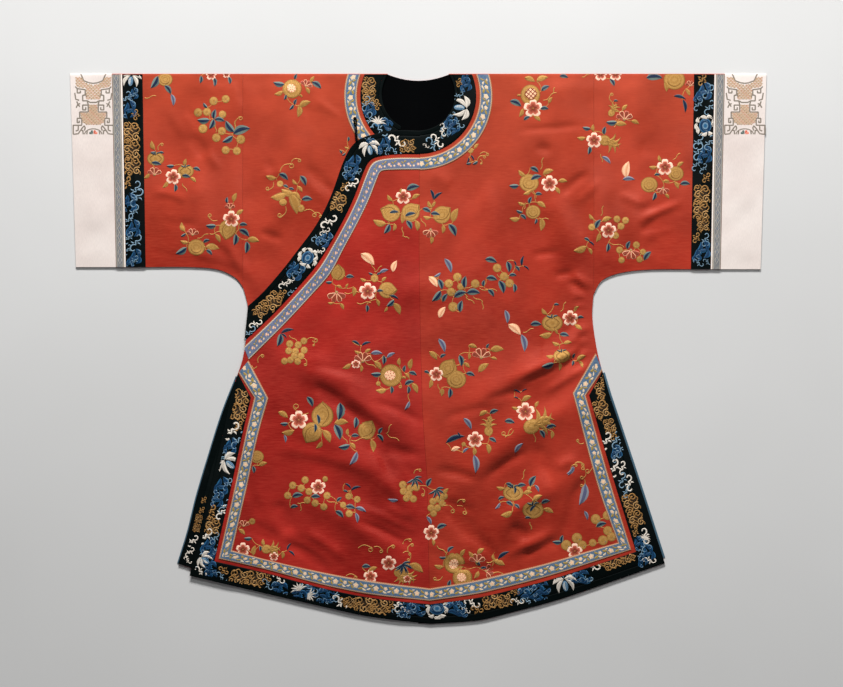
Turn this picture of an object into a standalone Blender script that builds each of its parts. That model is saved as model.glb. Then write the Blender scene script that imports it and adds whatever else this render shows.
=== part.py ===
"""Ao short robe, laid flat on its back.

The robe lies in the XY plane with its shoulder fold towards +Y, its hem
towards -Y and its outer face up.  Its underside is flat at z = 0 and the
origin is at the middle of its box, on the surface it rests on.

Every piece is cut flat and then laid: a pattern outline is scored along one
shared lattice, and each scored point is lifted by one shared height, so cloth
that lies on cloth stays parallel to it.  Pattern points are written as
(across, drop) in millimetres: across from the centre line, drop below the
shoulder fold.  "left" and "right" are the wearer's, so the wearer's left is
at +X and the wearer's right is at -X.
"""

import math
from collections import namedtuple

import bmesh
import bpy
import numpy as np

MM = 0.001

# Driving sizes, in millimetres
CUFF_REACH = 661.0          # centre line to cuff edge, half of the width
HEM_DROP = 1044.6           # shoulder fold to the lowest point of the hem
SLEEVE_SEAM = 333.0         # centre line to the join of the sleeve extension
SLEEVE_DROP = 369.0         # depth of the sleeve, used for the slant of its bands
WALL = 1.2                  # lined silk cloth
GAP = 0.3                   # between neighbouring pieces
TRIM = 1.0                  # bands, ribbons and bindings
LATTICE = 32.0              # spacing of the lines along which cloth may bend
HEIGHT_STEP = 0.15          # heights on the lattice are whole steps, so level cloth is level
SAME_PLANE = math.radians(0.02)
MERGED = 0.4                # outline points nearer than this are one point
SNAP = 0.15                 # a scored line takes a point that is nearer than this
CURVE_STEP = 20.0           # between the points of short curves
BORDER_STEP = 40.0          # and of the long curves of slits and hem

# Shoulder fold
FOLD_HALF = 1.0             # half of the fold's length in the flat pattern
FOLD_STEPS = 4
FOLD_RADIUS = WALL + GAP / 2
SHOULDER_Y = (HEM_DROP + FOLD_RADIUS - FOLD_HALF) / 2
FOLD_Y = SHOULDER_Y - FOLD_RADIUS + FOLD_HALF

# Heights of the undersides of the three layers of cloth
BACK_LEVEL = 0.0
FRONT_LEVEL = WALL + GAP
OVERLAP_RISE = WALL + GAP
TRIM_RISE = TRIM + GAP

# Neck
NECK_HOLE_RADIUS = 69.0
NECK_HOLE_DROP = 39.0
NECK_RING_DROP = 42.0
NECK_BINDING_OUT = 75.0
NECK_BAND_OUT = 110.0
NECK_RIBBON_IN = 116.5
NECK_RIBBON_OUT = 141.0
NECK_SCOOP = 12.0           # depth of the back of the neck
UNDER_EDGE = -33.0          # hidden free edge of the underlap, across
UNDER_EDGE_LOW = 1035.5     # and its drop at the hem
UNDER_EDGE_CLEAR = 5.0
NECK_STEPS = 16
SCOOP_STEPS = 6

# Centre front seam: columns across, drop
SEAM = [(3.0, 106.0), (3.0, 150.0), (2.0, 184.0), (1.5, 330.0), (4.0, 500.0),
        (8.0, 640.0), (16.5, 765.0), (19.0, 880.0), (22.0, HEM_DROP)]
SEAM_BACK = 0.0

# Underarm and side down to the top of the slit: columns across, drop
SLEEVE_BOTTOM = {
    "left": [(333.0, 418.0), (348.0, 393.0), (380.0, 379.0), (433.0, 372.0), (520.0, 371.0)],
    "right": [(333.0, 405.0), (346.0, 388.0), (379.0, 372.0), (432.0, 367.0), (520.0, 367.0)],
}
SIDE = {
    "left": [(333.0, 418.0), (330.0, 457.0), (335.0, 500.0), (342.0, 537.5), (350.5, 568.0)],
    "right": [(333.0, 405.0), (323.5, 441.0), (325.0, 489.0), (333.5, 543.0), (344.5, 575.0)],
}
CUFF_DROP = {"left": 371.0, "right": 367.0}

# Underlap and back on the wearer's right, from slit top to hem: columns across, drop
UNDERLAP_SLIT = [(344.5, 575.0), (371.0, 642.0), (396.7, 723.0), (420.7, 803.5),
                 (437.0, 869.6), (455.6, 930.0)]
UNDERLAP_HEM = [(455.6, 930.0), (434.0, 938.0), (346.0, 968.0), (261.0, 988.0),
                (154.0, 1013.0), (47.0, 1034.0), (0.0, 1039.0)]

# Skirt border, one row for each section across it, from the wearer's right
# slit along the hem to the wearer's left slit.  The edge is the cloth's edge,
# the band point is the ribbon's outer edge, the ribbon point its inner edge.
Section = namedtuple("Section", "edge_x edge_drop band_x band_drop ribbon_x ribbon_drop")
BORDER_RIGHT = [
    Section(-344.5, 575.0, -341.5, 568.0, -322.0, 544.0),
    Section(-355.5, 614.7, -311.2, 614.7, -283.9, 615.6),
    Section(-371.0, 686.0, -326.4, 680.2, -303.4, 685.3),
    Section(-398.0, 800.0, -349.6, 790.8, -327.4, 796.1),
    Section(-434.0, 952.5, -378.7, 920.2, -352.5, 904.2),
    Section(-290.0, 986.5, -281.8, 942.6, -276.1, 924.5),
    Section(-195.0, 1008.4, -184.9, 969.2, -180.1, 946.2),
    Section(-95.0, 1030.0, -88.0, 988.6, -84.2, 962.7),
    Section(22.0, 1044.6, 22.0, 1000.7, 22.0, 976.6),
]
BORDER_RIGHT_CORNERS = (1, 4)
BORDER_LEFT = [
    Section(22.0, 1044.6, 22.0, 1000.7, 22.0, 976.6),
    Section(113.0, 1038.0, 107.7, 988.0, 104.9, 962.4),
    Section(165.0, 1026.0, 155.2, 977.6, 149.5, 951.9),
    Section(263.0, 999.5, 250.2, 952.9, 242.6, 929.1),
    Section(358.0, 967.5, 345.2, 922.5, 339.5, 900.6),
    Section(468.0, 929.0, 404.1, 903.5, 378.3, 889.8),
    Section(415.0, 766.0, 363.3, 771.4, 338.6, 777.1),
    Section(362.0, 607.0, 317.7, 610.7, 292.6, 606.1),
    Section(350.5, 568.0, 349.5, 564.0, 336.5, 530.0),
]
BORDER_LEFT_CORNERS = (5, 7)
BINDING_SHARE = 0.27        # of the way from the edge to the ribbon
BAND_SHARE = 0.86
UNDERLAP_BAND = 40.0        # width of the underlap's border, binding included
UNDERLAP_BINDING = 12.0
UNDERLAP_TOP_SLANT = 0.8    # how fast the border's upper end drops across its width
UNDERLAP_CORNER_RUN = (20.0, 60.0)
LINING_SHOWS = {"left": 4.2, "right": 2.6}
BORDER_SHARE_GAP = 0.004    # gaps between bands, as shares of the way across
FLAP_SHARE_GAP = 0.003
BACK_HEM_RISE = 0.6         # centre back above the hem's lowest point

# Flap edge, one row for each section across its trim, from the centre seam
# round the corner to the side.  The edge is the flap's free edge, the ribbon
# point is the far side of its ribbon.
Flap = namedtuple("Flap", "edge_x edge_drop ribbon_x ribbon_drop")
FLAP = [
    Flap(8.0, 108.0, 8.0, 182.0),
    Flap(-44.7, 107.9, -38.0, 182.5),
    Flap(-96.0, 118.5, -66.0, 184.0),
    Flap(-122.0, 132.5, -73.5, 188.5),
    Flap(-140.4, 162.6, -79.0, 202.0),
    Flap(-160.9, 219.6, -95.0, 243.0),
    Flap(-176.5, 256.1, -115.0, 284.0),
    Flap(-197.8, 293.4, -141.0, 332.0),
    Flap(-229.7, 336.1, -167.0, 380.0),
    Flap(-258.6, 373.5, -200.0, 418.0),
    Flap(-302.0, 422.0, -254.0, 476.0),
    Flap(-360.0, 470.0, -321.0, 543.0),
]
FLAP_BINDING_SHARE = 0.14
FLAP_BAND_SHARE = 0.6
FLAP_RIBBON_SHARE = 0.69
FLAP_END = [(-322.5, 435.0), (-333.5, 543.0)]
OVERLAP_CORNER = (-324.0, 441.0)
OVERLAP_CORNER_CLEAR = (3.0, 1.0)

# Sleeve trim, distance from the centre line at the shoulder and at the bottom
SLEEVE_TRIM = [
    # name, inner edge at top, at bottom, outer edge at top, at bottom
    ("sleeve_band", 523.5, 517.5, 562.0, 555.0),
    ("sleeve_piping", 562.3, 555.3, 565.2, 558.2),
    ("sleeve_ribbon", 565.5, 558.5, 581.5, 573.5),
]
CUFF_SEAM = (582.0, 574.0)
CUFF_EDGE = (CUFF_REACH, 650.0)

# Largest folds, soft ridges: columns across, drop at one end, across, drop at
# the other end, how far the middle bows up towards the shoulder, half width, height
Ridge = namedtuple("Ridge", "x0 drop0 x1 drop1 bow reach height")
RIDGES = [
    Ridge(-318.0, 372.0, -245.0, 205.0, 0.0, 24.0, 5.0),
    Ridge(-348.0, 350.0, -338.0, 165.0, 0.0, 22.0, 4.5),
    Ridge(-388.0, 330.0, -430.0, 190.0, 0.0, 22.0, 3.5),
    Ridge(318.0, 385.0, 250.0, 225.0, 0.0, 24.0, 5.0),
    Ridge(350.0, 350.0, 352.0, 175.0, 0.0, 22.0, 4.0),
    Ridge(392.0, 335.0, 440.0, 200.0, 0.0, 22.0, 3.5),
    Ridge(-150.0, 425.0, 130.0, 400.0, 0.0, 26.0, 3.0),
    Ridge(-290.0, 525.0, 18.0, 725.0, 30.0, 26.0, 7.0),
    Ridge(-275.0, 655.0, 10.0, 850.0, 30.0, 26.0, 7.5),
    Ridge(-270.0, 785.0, 0.0, 960.0, 25.0, 26.0, 6.5),
    Ridge(335.0, 515.0, 45.0, 690.0, 25.0, 24.0, 7.0),
    Ridge(340.0, 615.0, 60.0, 800.0, 25.0, 26.0, 7.5),
    Ridge(335.0, 735.0, 110.0, 920.0, 20.0, 26.0, 7.0),
]
RIDGE_END = 0.3             # a ridge runs on past its ends by this share of its reach
RIDGE_TAPER = 0.35          # and rises over this share of its length
EDGE_FLAT = 10.0            # cloth lies flat this far in from its edge
EDGE_RISE = 95.0            # and rises to its full fold over this distance
NECK_FLAT = 190.0
NECK_RISE = 70.0
SLEEVE_FLAT = 472.0
SLEEVE_RISE = 70.0

# Underlap's trim lifts the overlap above it
LIFT_FULL = 90.0
LIFT_NONE = 135.0
LEVEL_RUN = 38.0            # overlap steps down to the seam over this distance

# Button and loop at the corner of the flap
BUTTON_AT = (-120.0, 86.0)
BUTTON_RADIUS = 3.4
STEM_RADIUS = 0.6
LOOP_END = (-117.0, 128.0)
LOOP_CORD = 1.2
LOOP_NARROW = 1.45          # half width between the two cords
LOOP_EYE = 2.9              # half width round the stem
LOOP_EYE_RUN = 14.0
LOOP_POINTS = 30
LOOP_ROUNDNESS = 0.35
CORD_SIDES = 8
KNOT_STEPS = 9
KNOT_SIDES = 14

COLOURS = {
    # slot: red, green, blue, roughness
    "satin": (0.50, 0.055, 0.035, 0.5),
    "border": (0.012, 0.016, 0.018, 0.55),
    "binding": (0.008, 0.012, 0.013, 0.5),
    "ribbon": (0.23, 0.30, 0.42, 0.65),
    "cuff": (0.75, 0.68, 0.60, 0.6),
    "piping": (0.78, 0.76, 0.70, 0.6),
    "lining": (0.16, 0.34, 0.42, 0.6),
    "cord": (0.008, 0.009, 0.010, 0.5),
}


def clear_scene():
    for item in list(bpy.data.objects):
        bpy.data.objects.remove(item, do_unlink=True)


def smoothstep(value):
    value = min(max(value, 0.0), 1.0)
    return value * value * (3.0 - 2.0 * value)


def through(rows, step=14.0, corners=()):
    """Points of a smooth curve through the rows, which stays sharp at corners."""
    table = np.array(rows, dtype=float)
    last = len(table) - 1
    spans = [float(np.linalg.norm(table[i + 1][:2] - table[i][:2])) for i in range(last)]
    curve = [table[0]]
    for i in range(last):
        here, after = table[i], table[i + 1]
        leave = (after - here) / spans[i]
        arrive = leave
        if i > 0 and i not in corners:
            leave = (after - table[i - 1]) / (spans[i] + spans[i - 1])
        if i + 1 < last and i + 1 not in corners:
            arrive = (table[i + 2] - here) / (spans[i] + spans[i + 1])
        parts = max(1, round(spans[i] / step))
        for k in range(1, parts + 1):
            t = k / parts
            curve.append(
                here * (2 * t**3 - 3 * t**2 + 1) + leave * spans[i] * (t**3 - 2 * t**2 + t)
                + after * (3 * t**2 - 2 * t**3) + arrive * spans[i] * (t**3 - t**2)
            )
    return [tuple(float(v) for v in point) for point in curve]


def flipped(points, sign):
    return [(sign * across, drop) for across, drop in points]


def distance_to(points, across, drop):
    """Shortest distance from one place to a run of straight lines."""
    line = np.array(points)
    start, run = line[:-1], line[1:] - line[:-1]
    place = np.array((across, drop))
    share = ((place - start) * run).sum(axis=1) / (run * run).sum(axis=1)
    nearest = start + run * np.clip(share, 0.0, 1.0)[:, None]
    return float(np.sqrt(((place - nearest) ** 2).sum(axis=1)).min())


def inside(points, across, drop):
    hit = False
    for (x0, y0), (x1, y1) in zip(points, points[1:] + points[:1]):
        if (y0 > drop) != (y1 > drop):
            if across < x0 + (drop - y0) * (x1 - x0) / (y1 - y0):
                hit = not hit
    return hit


# Outlines

def sleeve_line(top, bottom, drop):
    """Across of a line that slants from its place at the shoulder to the bottom."""
    return top + (bottom - top) * drop / SLEEVE_DROP


def seam_across(drop):
    for (x0, d0), (x1, d1) in zip(SEAM, SEAM[1:]):
        if drop <= d1:
            return x0 + (x1 - x0) * (drop - d0) / (d1 - d0)
    return SEAM[-1][0]


def side_points(side):
    return through(SIDE[side], CURVE_STEP)


def border_rows(side):
    if side == "right":
        return through(BORDER_RIGHT, BORDER_STEP, BORDER_RIGHT_CORNERS)
    return through(BORDER_LEFT, BORDER_STEP, BORDER_LEFT_CORNERS)


def flap_rows():
    return through(FLAP, CURVE_STEP)


def edge_points(rows):
    return [(row[0], row[1]) for row in rows]


def left_skirt():
    """Slit and hem of the wearer's left half, from slit top to centre seam."""
    return list(reversed(edge_points(border_rows("left"))))


def underlap_slit():
    return flipped(through(UNDERLAP_SLIT, BORDER_STEP), -1)


def underlap_skirt():
    """Slit and hem of underlap and back on the wearer's right, from slit top."""
    return underlap_slit() + flipped(through(UNDERLAP_HEM, BORDER_STEP)[1:], -1)


def front_outline():
    """Outline of the whole front, used to keep folds away from its edges."""
    left = list(reversed(through(SLEEVE_BOTTOM["left"], CURVE_STEP)))
    right = flipped(through(SLEEVE_BOTTOM["right"], CURVE_STEP), -1)
    cuff_left = sleeve_line(*CUFF_EDGE, SLEEVE_DROP)
    right_side = flipped(list(reversed(side_points("right"))), -1)
    overlap = list(reversed(edge_points(border_rows("right"))))
    return ([(-CUFF_REACH, 0.0), (CUFF_REACH, 0.0), (cuff_left, CUFF_DROP["left"])] + left
            + side_points("left")[1:] + left_skirt()[1:] + overlap[1:] + right_side[1:]
            + right[1:] + [(-cuff_left, CUFF_DROP["right"])])


FRONT = front_outline()


# Heights

def ridge_height(ridge, across, drop):
    run_x, run_d = ridge.x1 - ridge.x0, ridge.drop1 - ridge.drop0
    length = math.hypot(run_x, run_d)
    along = ((across - ridge.x0) * run_x + (drop - ridge.drop0) * run_d) / length
    off = ((across - ridge.x0) * run_d - (drop - ridge.drop0) * run_x) / length
    share = min(max(along / length, 0.0), 1.0)
    off -= math.copysign(ridge.bow, run_x) * 4.0 * share * (1.0 - share)
    beyond = RIDGE_END * ridge.reach
    taper = smoothstep((along + beyond) / (RIDGE_TAPER * length))
    taper *= smoothstep((length - along + beyond) / (RIDGE_TAPER * length))
    return ridge.height * taper * math.exp(-((off / ridge.reach) ** 2))


def fold_height(across, drop):
    """Height of the folds at one place, before it is read off the lattice."""
    if not inside(FRONT, across, drop):
        return 0.0
    rise = smoothstep((distance_to(FRONT + FRONT[:1], across, drop) - EDGE_FLAT) / EDGE_RISE)
    rise *= smoothstep((math.hypot(across, drop - NECK_RING_DROP) - NECK_FLAT) / NECK_RISE)
    rise *= smoothstep((SLEEVE_FLAT - abs(across)) / SLEEVE_RISE)
    return rise * sum(ridge_height(ridge, across, drop) for ridge in RIDGES)


def overlap_height(across, drop):
    """Extra height of the overlap above the front, for the underlap below it."""
    step = min(max((SEAM[0][0] - across) / LEVEL_RUN, 0.0), 1.0)
    away = distance_to(UNDERLAP_SLIT_LINE, across, drop)
    lift = smoothstep((LIFT_NONE - away) / (LIFT_NONE - LIFT_FULL))
    return OVERLAP_RISE * step + TRIM_RISE * lift


UNDERLAP_SLIT_LINE = flipped(UNDERLAP_SLIT, -1)
LATTICE_VALUES = {}


def on_lattice(height, across, drop):
    """Height between the lattice points, flat on each half of a cell."""
    def corner(i, j):
        key = (height.__name__, i, j)
        if key not in LATTICE_VALUES:
            LATTICE_VALUES[key] = HEIGHT_STEP * round(height(i * LATTICE, j * LATTICE) / HEIGHT_STEP)
        return LATTICE_VALUES[key]

    i, j = math.floor(across / LATTICE), math.floor(drop / LATTICE)
    u, v = across / LATTICE - i, drop / LATTICE - j
    if u + v <= 1.0:
        near = corner(i, j)
        return near + u * (corner(i + 1, j) - near) + v * (corner(i, j + 1) - near)
    far = corner(i + 1, j + 1)
    return far + (1 - u) * (corner(i, j + 1) - far) + (1 - v) * (corner(i + 1, j) - far)


def front_height(across, drop):
    return FRONT_LEVEL + on_lattice(fold_height, across, drop)


def over_height(across, drop):
    return front_height(across, drop) + on_lattice(overlap_height, across, drop)


def on_front(across, drop):
    return front_height(across, drop) + WALL + GAP


def on_overlap(across, drop):
    return over_height(across, drop) + WALL + GAP


# Sheets

def flat_pattern(outline):
    """One flat face with the outline, without points that nearly coincide."""
    kept = []
    for point in outline:
        if not kept or math.dist(point, kept[-1]) > MERGED:
            kept.append(point)
    if math.dist(kept[0], kept[-1]) <= MERGED:
        kept.pop()
    pattern = bmesh.new()
    pattern.faces.new([pattern.verts.new((x, s, 0.0)) for x, s in kept])
    return pattern


def cut_lines(pattern, place, normal, only_front=False, clear=False):
    faces = pattern.faces[:]
    if only_front:
        faces = [face for face in faces if face.calc_center_median().y > FOLD_HALF]
    parts = set(faces)
    for face in faces:
        parts.update(face.edges)
        parts.update(face.verts)
    bmesh.ops.bisect_plane(pattern, geom=list(parts), dist=SNAP, plane_co=(*place, 0.0),
                           plane_no=(*normal, 0.0), clear_outer=clear)


def score(pattern):
    """Cut the front of the pattern along the lattice lines and their diagonals."""
    front = [v.co for v in pattern.verts if v.co.y >= FOLD_HALF - 0.01]
    xs, ss = [p.x for p in front], [p.y for p in front]
    diagonals = [p.x + p.y for p in front]
    for values, normal in ((xs, (1, 0)), (ss, (0, 1)), (diagonals, (1, 1))):
        first = math.ceil(min(values) / LATTICE)
        for k in range(first, math.floor(max(values) / LATTICE) + 1):
            place = (0.0, k * LATTICE) if normal == (0, 1) else (k * LATTICE, 0.0)
            cut_lines(pattern, place, normal, only_front=True)


def laid(point, height, thick, outer):
    """Place of a pattern point: front, fold or back, on its outer or inner face."""
    across, s = point
    if s >= FOLD_HALF:
        z = height(across, s) + (thick if outer else 0.0)
        return across, FOLD_Y - s, z
    if s <= -FOLD_HALF:
        return across, FOLD_Y + s, BACK_LEVEL + (0.0 if outer else thick)
    turn = math.pi * (s + FOLD_HALF) / (2 * FOLD_HALF)
    radius = GAP / 2 + (WALL if outer else 0.0)
    centre = WALL + GAP / 2
    return (across, FOLD_Y - FOLD_HALF + radius * math.sin(turn),
            centre - radius * math.cos(turn))


def merge_level_faces(pattern, height, thick):
    """Join scored faces that lie in one plane, and return the pattern points."""
    across = pattern.verts.layers.float.new("across")
    drop = pattern.verts.layers.float.new("drop")
    for vert in pattern.verts:
        vert[across], vert[drop] = vert.co.x, vert.co.y
        vert.co = laid((vert.co.x, vert.co.y), height, thick, True)
    pattern.normal_update()
    bmesh.ops.dissolve_limit(pattern, angle_limit=SAME_PLANE, verts=pattern.verts[:],
                             edges=pattern.edges[:])
    bmesh.ops.triangulate(pattern, faces=pattern.faces[:])
    pattern.verts.index_update()
    return [(vert[across], vert[drop]) for vert in pattern.verts]


def sheet(name, outline, height, slot, thick=WALL, folded=False, ends=()):
    """A closed wall of cloth from its flat pattern, laid at its height."""
    pattern = flat_pattern(outline)
    for place, normal in ends:
        cut_lines(pattern, place, normal, clear=True)
    if folded:
        for k in range(FOLD_STEPS + 1):
            cut_lines(pattern, (0.0, -FOLD_HALF + 2 * FOLD_HALF * k / FOLD_STEPS), (0, 1))
    score(pattern)
    flat = merge_level_faces(pattern, height, thick)
    faces = [[v.index for v in face.verts] for face in pattern.faces]
    rims = [(loop.vert.index, loop.link_loop_next.vert.index)
            for face in pattern.faces for loop in face.loops if loop.edge.is_boundary]
    pattern.free()

    body = bmesh.new()
    outer = [body.verts.new([c * MM for c in laid(p, height, thick, True)]) for p in flat]
    inner = [body.verts.new([c * MM for c in laid(p, height, thick, False)]) for p in flat]
    for face in faces:
        body.faces.new([outer[i] for i in face])
        body.faces.new([inner[i] for i in reversed(face)])
    for start, end in rims:
        body.faces.new([outer[end], outer[start], inner[start]])
        body.faces.new([outer[end], inner[start], inner[end]])
    if body.calc_volume(signed=True) < 0:
        bmesh.ops.reverse_faces(body, faces=body.faces[:])
    return finished(name, body, slot)


def finished(name, body, slot, smooth=False):
    mesh = bpy.data.meshes.new(name)
    body.to_mesh(mesh)
    body.free()
    if smooth:
        mesh.shade_smooth()
        mesh.set_sharp_from_angle(angle=math.radians(40))
    red, green, blue, roughness = COLOURS[slot]
    material = bpy.data.materials.new(name)
    material.use_nodes = True
    shader = material.node_tree.nodes["Principled BSDF"]
    shader.inputs["Base Color"].default_value = (red, green, blue, 1.0)
    shader.inputs["Roughness"].default_value = roughness
    shader.inputs["Metallic"].default_value = 0.0
    mesh.materials.append(material)
    item = bpy.data.objects.new(name, mesh)
    bpy.context.scene.collection.objects.link(item)
    return item


def strip(rows, start, end):
    """Outline of a strip that runs along the rows between two shares across."""
    def at(row, share):
        here = np.array(row[0:2])
        there = np.array(row[2:4])
        if len(row) == 6 and share > 1.0:
            here, there, share = there, np.array(row[4:6]), share - 1.0
        return tuple(float(v) for v in here + (there - here) * share)

    return [at(row, start) for row in rows] + [at(row, end) for row in reversed(rows)]


# Neck ring

def ring_point(radius, turn, sign, centre=NECK_RING_DROP):
    """Turn is 0 straight down and 90 degrees towards the side."""
    return sign * radius * math.sin(turn), centre + radius * math.cos(turn)


def shoulder_turn(radius, centre):
    return math.pi / 2 + math.asin((centre - FOLD_HALF - 0.2) / radius)


def neck_arc(radius, centre, sign, first):
    """Arc of the neck from a first turn up to the shoulder fold."""
    last = shoulder_turn(radius, centre)
    return [ring_point(radius, first + (last - first) * k / NECK_STEPS, sign, centre)
            for k in range(NECK_STEPS + 1)]


def hole_arc(sign, across_start):
    first = math.asin(abs(across_start) / NECK_HOLE_RADIUS)
    return neck_arc(NECK_HOLE_RADIUS, NECK_HOLE_DROP, sign, first)


def back_scoop(sign):
    """Back of the neck, from the fold to the centre back."""
    half = ring_point(NECK_HOLE_RADIUS, shoulder_turn(NECK_HOLE_RADIUS, NECK_HOLE_DROP),
                      1, NECK_HOLE_DROP)[0]
    points = []
    for k in range(SCOOP_STEPS + 1):
        across = half + (GAP / 2 - half) * k / SCOOP_STEPS
        points.append((sign * across, -FOLD_HALF - NECK_SCOOP * (1 - (across / half) ** 2)))
    return points


# Body, sleeves and cuffs

def turned_back(points):
    """The back's outline in the flat pattern, where its drops count upwards."""
    return [(across, -drop) for across, drop in reversed(points)]


def add_body_left():
    """Wearer's left half: back, shoulder and front down to the centre seam."""
    skirt = left_skirt()
    top = seam_across(SEAM[0][1]) + GAP / 2
    seam = [(x + GAP / 2, d) for x, d in reversed(SEAM[1:])]
    side = [(SLEEVE_SEAM - GAP / 2, SIDE["left"][0][1])] + side_points("left")[1:-1]
    front = side + skirt[:-1] + seam
    back = side + skirt + [(SEAM_BACK + GAP / 2, HEM_DROP - BACK_HEM_RISE)]
    outline = front + hole_arc(1, top) + back_scoop(1) + turned_back(back)
    return sheet("body_left", outline, front_height, "satin", folded=True)


def add_body_right():
    """Wearer's right half: back, shoulder and the underlap that the flap covers."""
    skirt = underlap_skirt()
    side = [(SLEEVE_SEAM - GAP / 2, SIDE["right"][0][1])] + side_points("right")[1:-1]
    side = flipped(side, -1)
    hem = [p for p in skirt if p[0] < UNDER_EDGE - UNDER_EDGE_CLEAR]
    front = side + hem + [(UNDER_EDGE, UNDER_EDGE_LOW)]
    back = side + skirt[:-1] + [(SEAM_BACK - GAP / 2, skirt[-1][1])]
    outline = front + hole_arc(-1, UNDER_EDGE) + back_scoop(-1) + turned_back(back)
    return sheet("body_right", outline, front_height, "satin", folded=True)


def add_front_overlap():
    """Wearer's left front beyond the seam, which crosses over to the right side."""
    above, below = OVERLAP_CORNER_CLEAR
    corner_drop = OVERLAP_CORNER[1]
    seam = [(x - GAP / 2, d) for x, d in SEAM]
    flap = [p for p in edge_points(flap_rows())
            if p[1] < corner_drop - above and p[0] < SEAM[0][0] - 1.0]
    side = [p for p in flipped(side_points("right"), -1) if p[1] > corner_drop + below]
    skirt = edge_points(border_rows("right"))
    outline = list(reversed(flap)) + seam + list(reversed(skirt[:-1]))
    outline += list(reversed(side[:-1])) + [OVERLAP_CORNER]
    return sheet("front_overlap", outline, over_height, "satin")


def sleeve_outline(side, inner, outer):
    """Folded outline of a part of the sleeve between two slanting lines."""
    sign = 1 if side == "left" else -1
    curve = through(SLEEVE_BOTTOM[side], CURVE_STEP)
    bottom = CUFF_DROP[side]
    line_in = [(inner[0], 0.0), (sleeve_line(*inner, bottom), bottom)]
    line_out = [(outer[0], 0.0), (sleeve_line(*outer, bottom), bottom)]
    if inner[0] < SLEEVE_SEAM + 1.0:
        lower = [(line_in[0][0], curve[0][1])] + curve[1:] + [line_out[1]]
    else:
        lower = [line_in[1], line_out[1]]
    return flipped(lower + [line_out[0]] + turned_back(lower) + [line_in[0]], sign)


def add_sleeves():
    for side in ("left", "right"):
        body_end = (SLEEVE_SEAM + GAP / 2, SLEEVE_SEAM + GAP / 2)
        sleeve_end = (CUFF_SEAM[0] - GAP / 2, CUFF_SEAM[1] - GAP / 2)
        cuff_start = (CUFF_SEAM[0] + GAP / 2, CUFF_SEAM[1] + GAP / 2)
        sheet("sleeve_" + side, sleeve_outline(side, body_end, sleeve_end),
              front_height, "satin", folded=True)
        sheet("cuff_" + side, sleeve_outline(side, cuff_start, CUFF_EDGE),
              front_height, "cuff", folded=True)


def add_sleeve_trim():
    slots = {"sleeve_band": "border", "sleeve_piping": "piping", "sleeve_ribbon": "ribbon"}
    for side in ("left", "right"):
        sign = 1 if side == "left" else -1
        bottom = CUFF_DROP[side]
        for name, in_top, in_bottom, out_top, out_bottom in SLEEVE_TRIM:
            outline = [(in_top, FOLD_HALF), (out_top, FOLD_HALF),
                       (sleeve_line(out_top, out_bottom, bottom), bottom),
                       (sleeve_line(in_top, in_bottom, bottom), bottom)]
            sheet(name + "_" + side, flipped(outline, sign), on_front, slots[name], thick=TRIM)


# Neck, flap and skirt trim

def ring_outline(side, inner, outer):
    """A part of the neck ring, from the seam or the flap to the shoulder."""
    sign = 1 if side == "left" else -1
    centre = NECK_HOLE_DROP if inner == NECK_HOLE_RADIUS else NECK_RING_DROP
    start = []
    if side == "left":
        first_in = math.asin((SEAM[0][0] + 1.2) / inner)
        first_out = math.asin((SEAM[1][0] + 0.6) / outer)
    else:
        first_in, first_out = ring_start(inner), ring_start(outer)
        between = np.linspace(outer, inner, 8)[1:-1]
        start = [ring_point(radius, ring_start(radius), sign) for radius in between]
    inside_arc = neck_arc(inner, centre, sign, first_in)
    return inside_arc + list(reversed(neck_arc(outer, NECK_RING_DROP, sign, first_out))) + start


def ring_start(radius):
    """Turn at which the ring of this radius comes out from under the flap."""
    edge = list(reversed(edge_points(flap_rows())))
    xs, drops = [x for x, _ in edge], [d for _, d in edge]
    for turn in np.linspace(0.0, math.pi / 2, 400):
        across, drop = ring_point(radius, turn, -1)
        clear = drop < np.interp(across, xs, drops) - 3 * GAP
        if clear and across < UNDER_EDGE - GAP:
            return float(turn)
    return 0.0


def add_neck_trim():
    rings = [("neck_binding", NECK_HOLE_RADIUS, NECK_BINDING_OUT - GAP, "binding"),
             ("neck_band", NECK_BINDING_OUT, NECK_BAND_OUT, "border"),
             ("neck_ribbon", NECK_RIBBON_IN, NECK_RIBBON_OUT, "ribbon")]
    for side in ("left", "right"):
        for name, inner, outer, slot in rings:
            sheet(name + "_" + side, ring_outline(side, inner, outer), on_front, slot,
                  thick=TRIM)


def add_flap_trim():
    rows = flap_rows()
    start = SEAM[0][0] - GAP
    (x0, d0), (x1, d1) = FLAP_END
    side_cut = ((x0, d0), (d0 - d1, x1 - x0))
    seam_cut = ((start, 0.0), (1.0, 0.0))
    ends = [side_cut, seam_cut]
    parts = [("flap_binding", 0.0, FLAP_BINDING_SHARE - FLAP_SHARE_GAP, "binding"),
             ("flap_band", FLAP_BINDING_SHARE + FLAP_SHARE_GAP, FLAP_BAND_SHARE, "border"),
             ("flap_ribbon", FLAP_RIBBON_SHARE, 1.0, "ribbon")]
    for name, near, far, slot in parts:
        sheet(name, strip(rows, near, far), on_overlap, slot, thick=TRIM, ends=ends)


def add_skirt_trim():
    parts = [("skirt_binding", 0.0, BINDING_SHARE - BORDER_SHARE_GAP, "binding"),
             ("skirt_band", BINDING_SHARE + BORDER_SHARE_GAP, BAND_SHARE, "border"),
             ("skirt_ribbon", 1.0, 2.0, "ribbon")]
    for side, height in (("left", on_front), ("right", on_overlap)):
        rows = border_rows(side)
        reach = SEAM[-1][0]
        cut = ((reach + GAP / 2, 0.0), (-1.0, 0.0))
        if side == "right":
            cut = ((reach - GAP / 2, 0.0), (1.0, 0.0))
        for name, near, far, slot in parts:
            sheet(name + "_" + side, strip(rows, near, far), height, slot,
                  thick=TRIM, ends=[cut])


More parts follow.
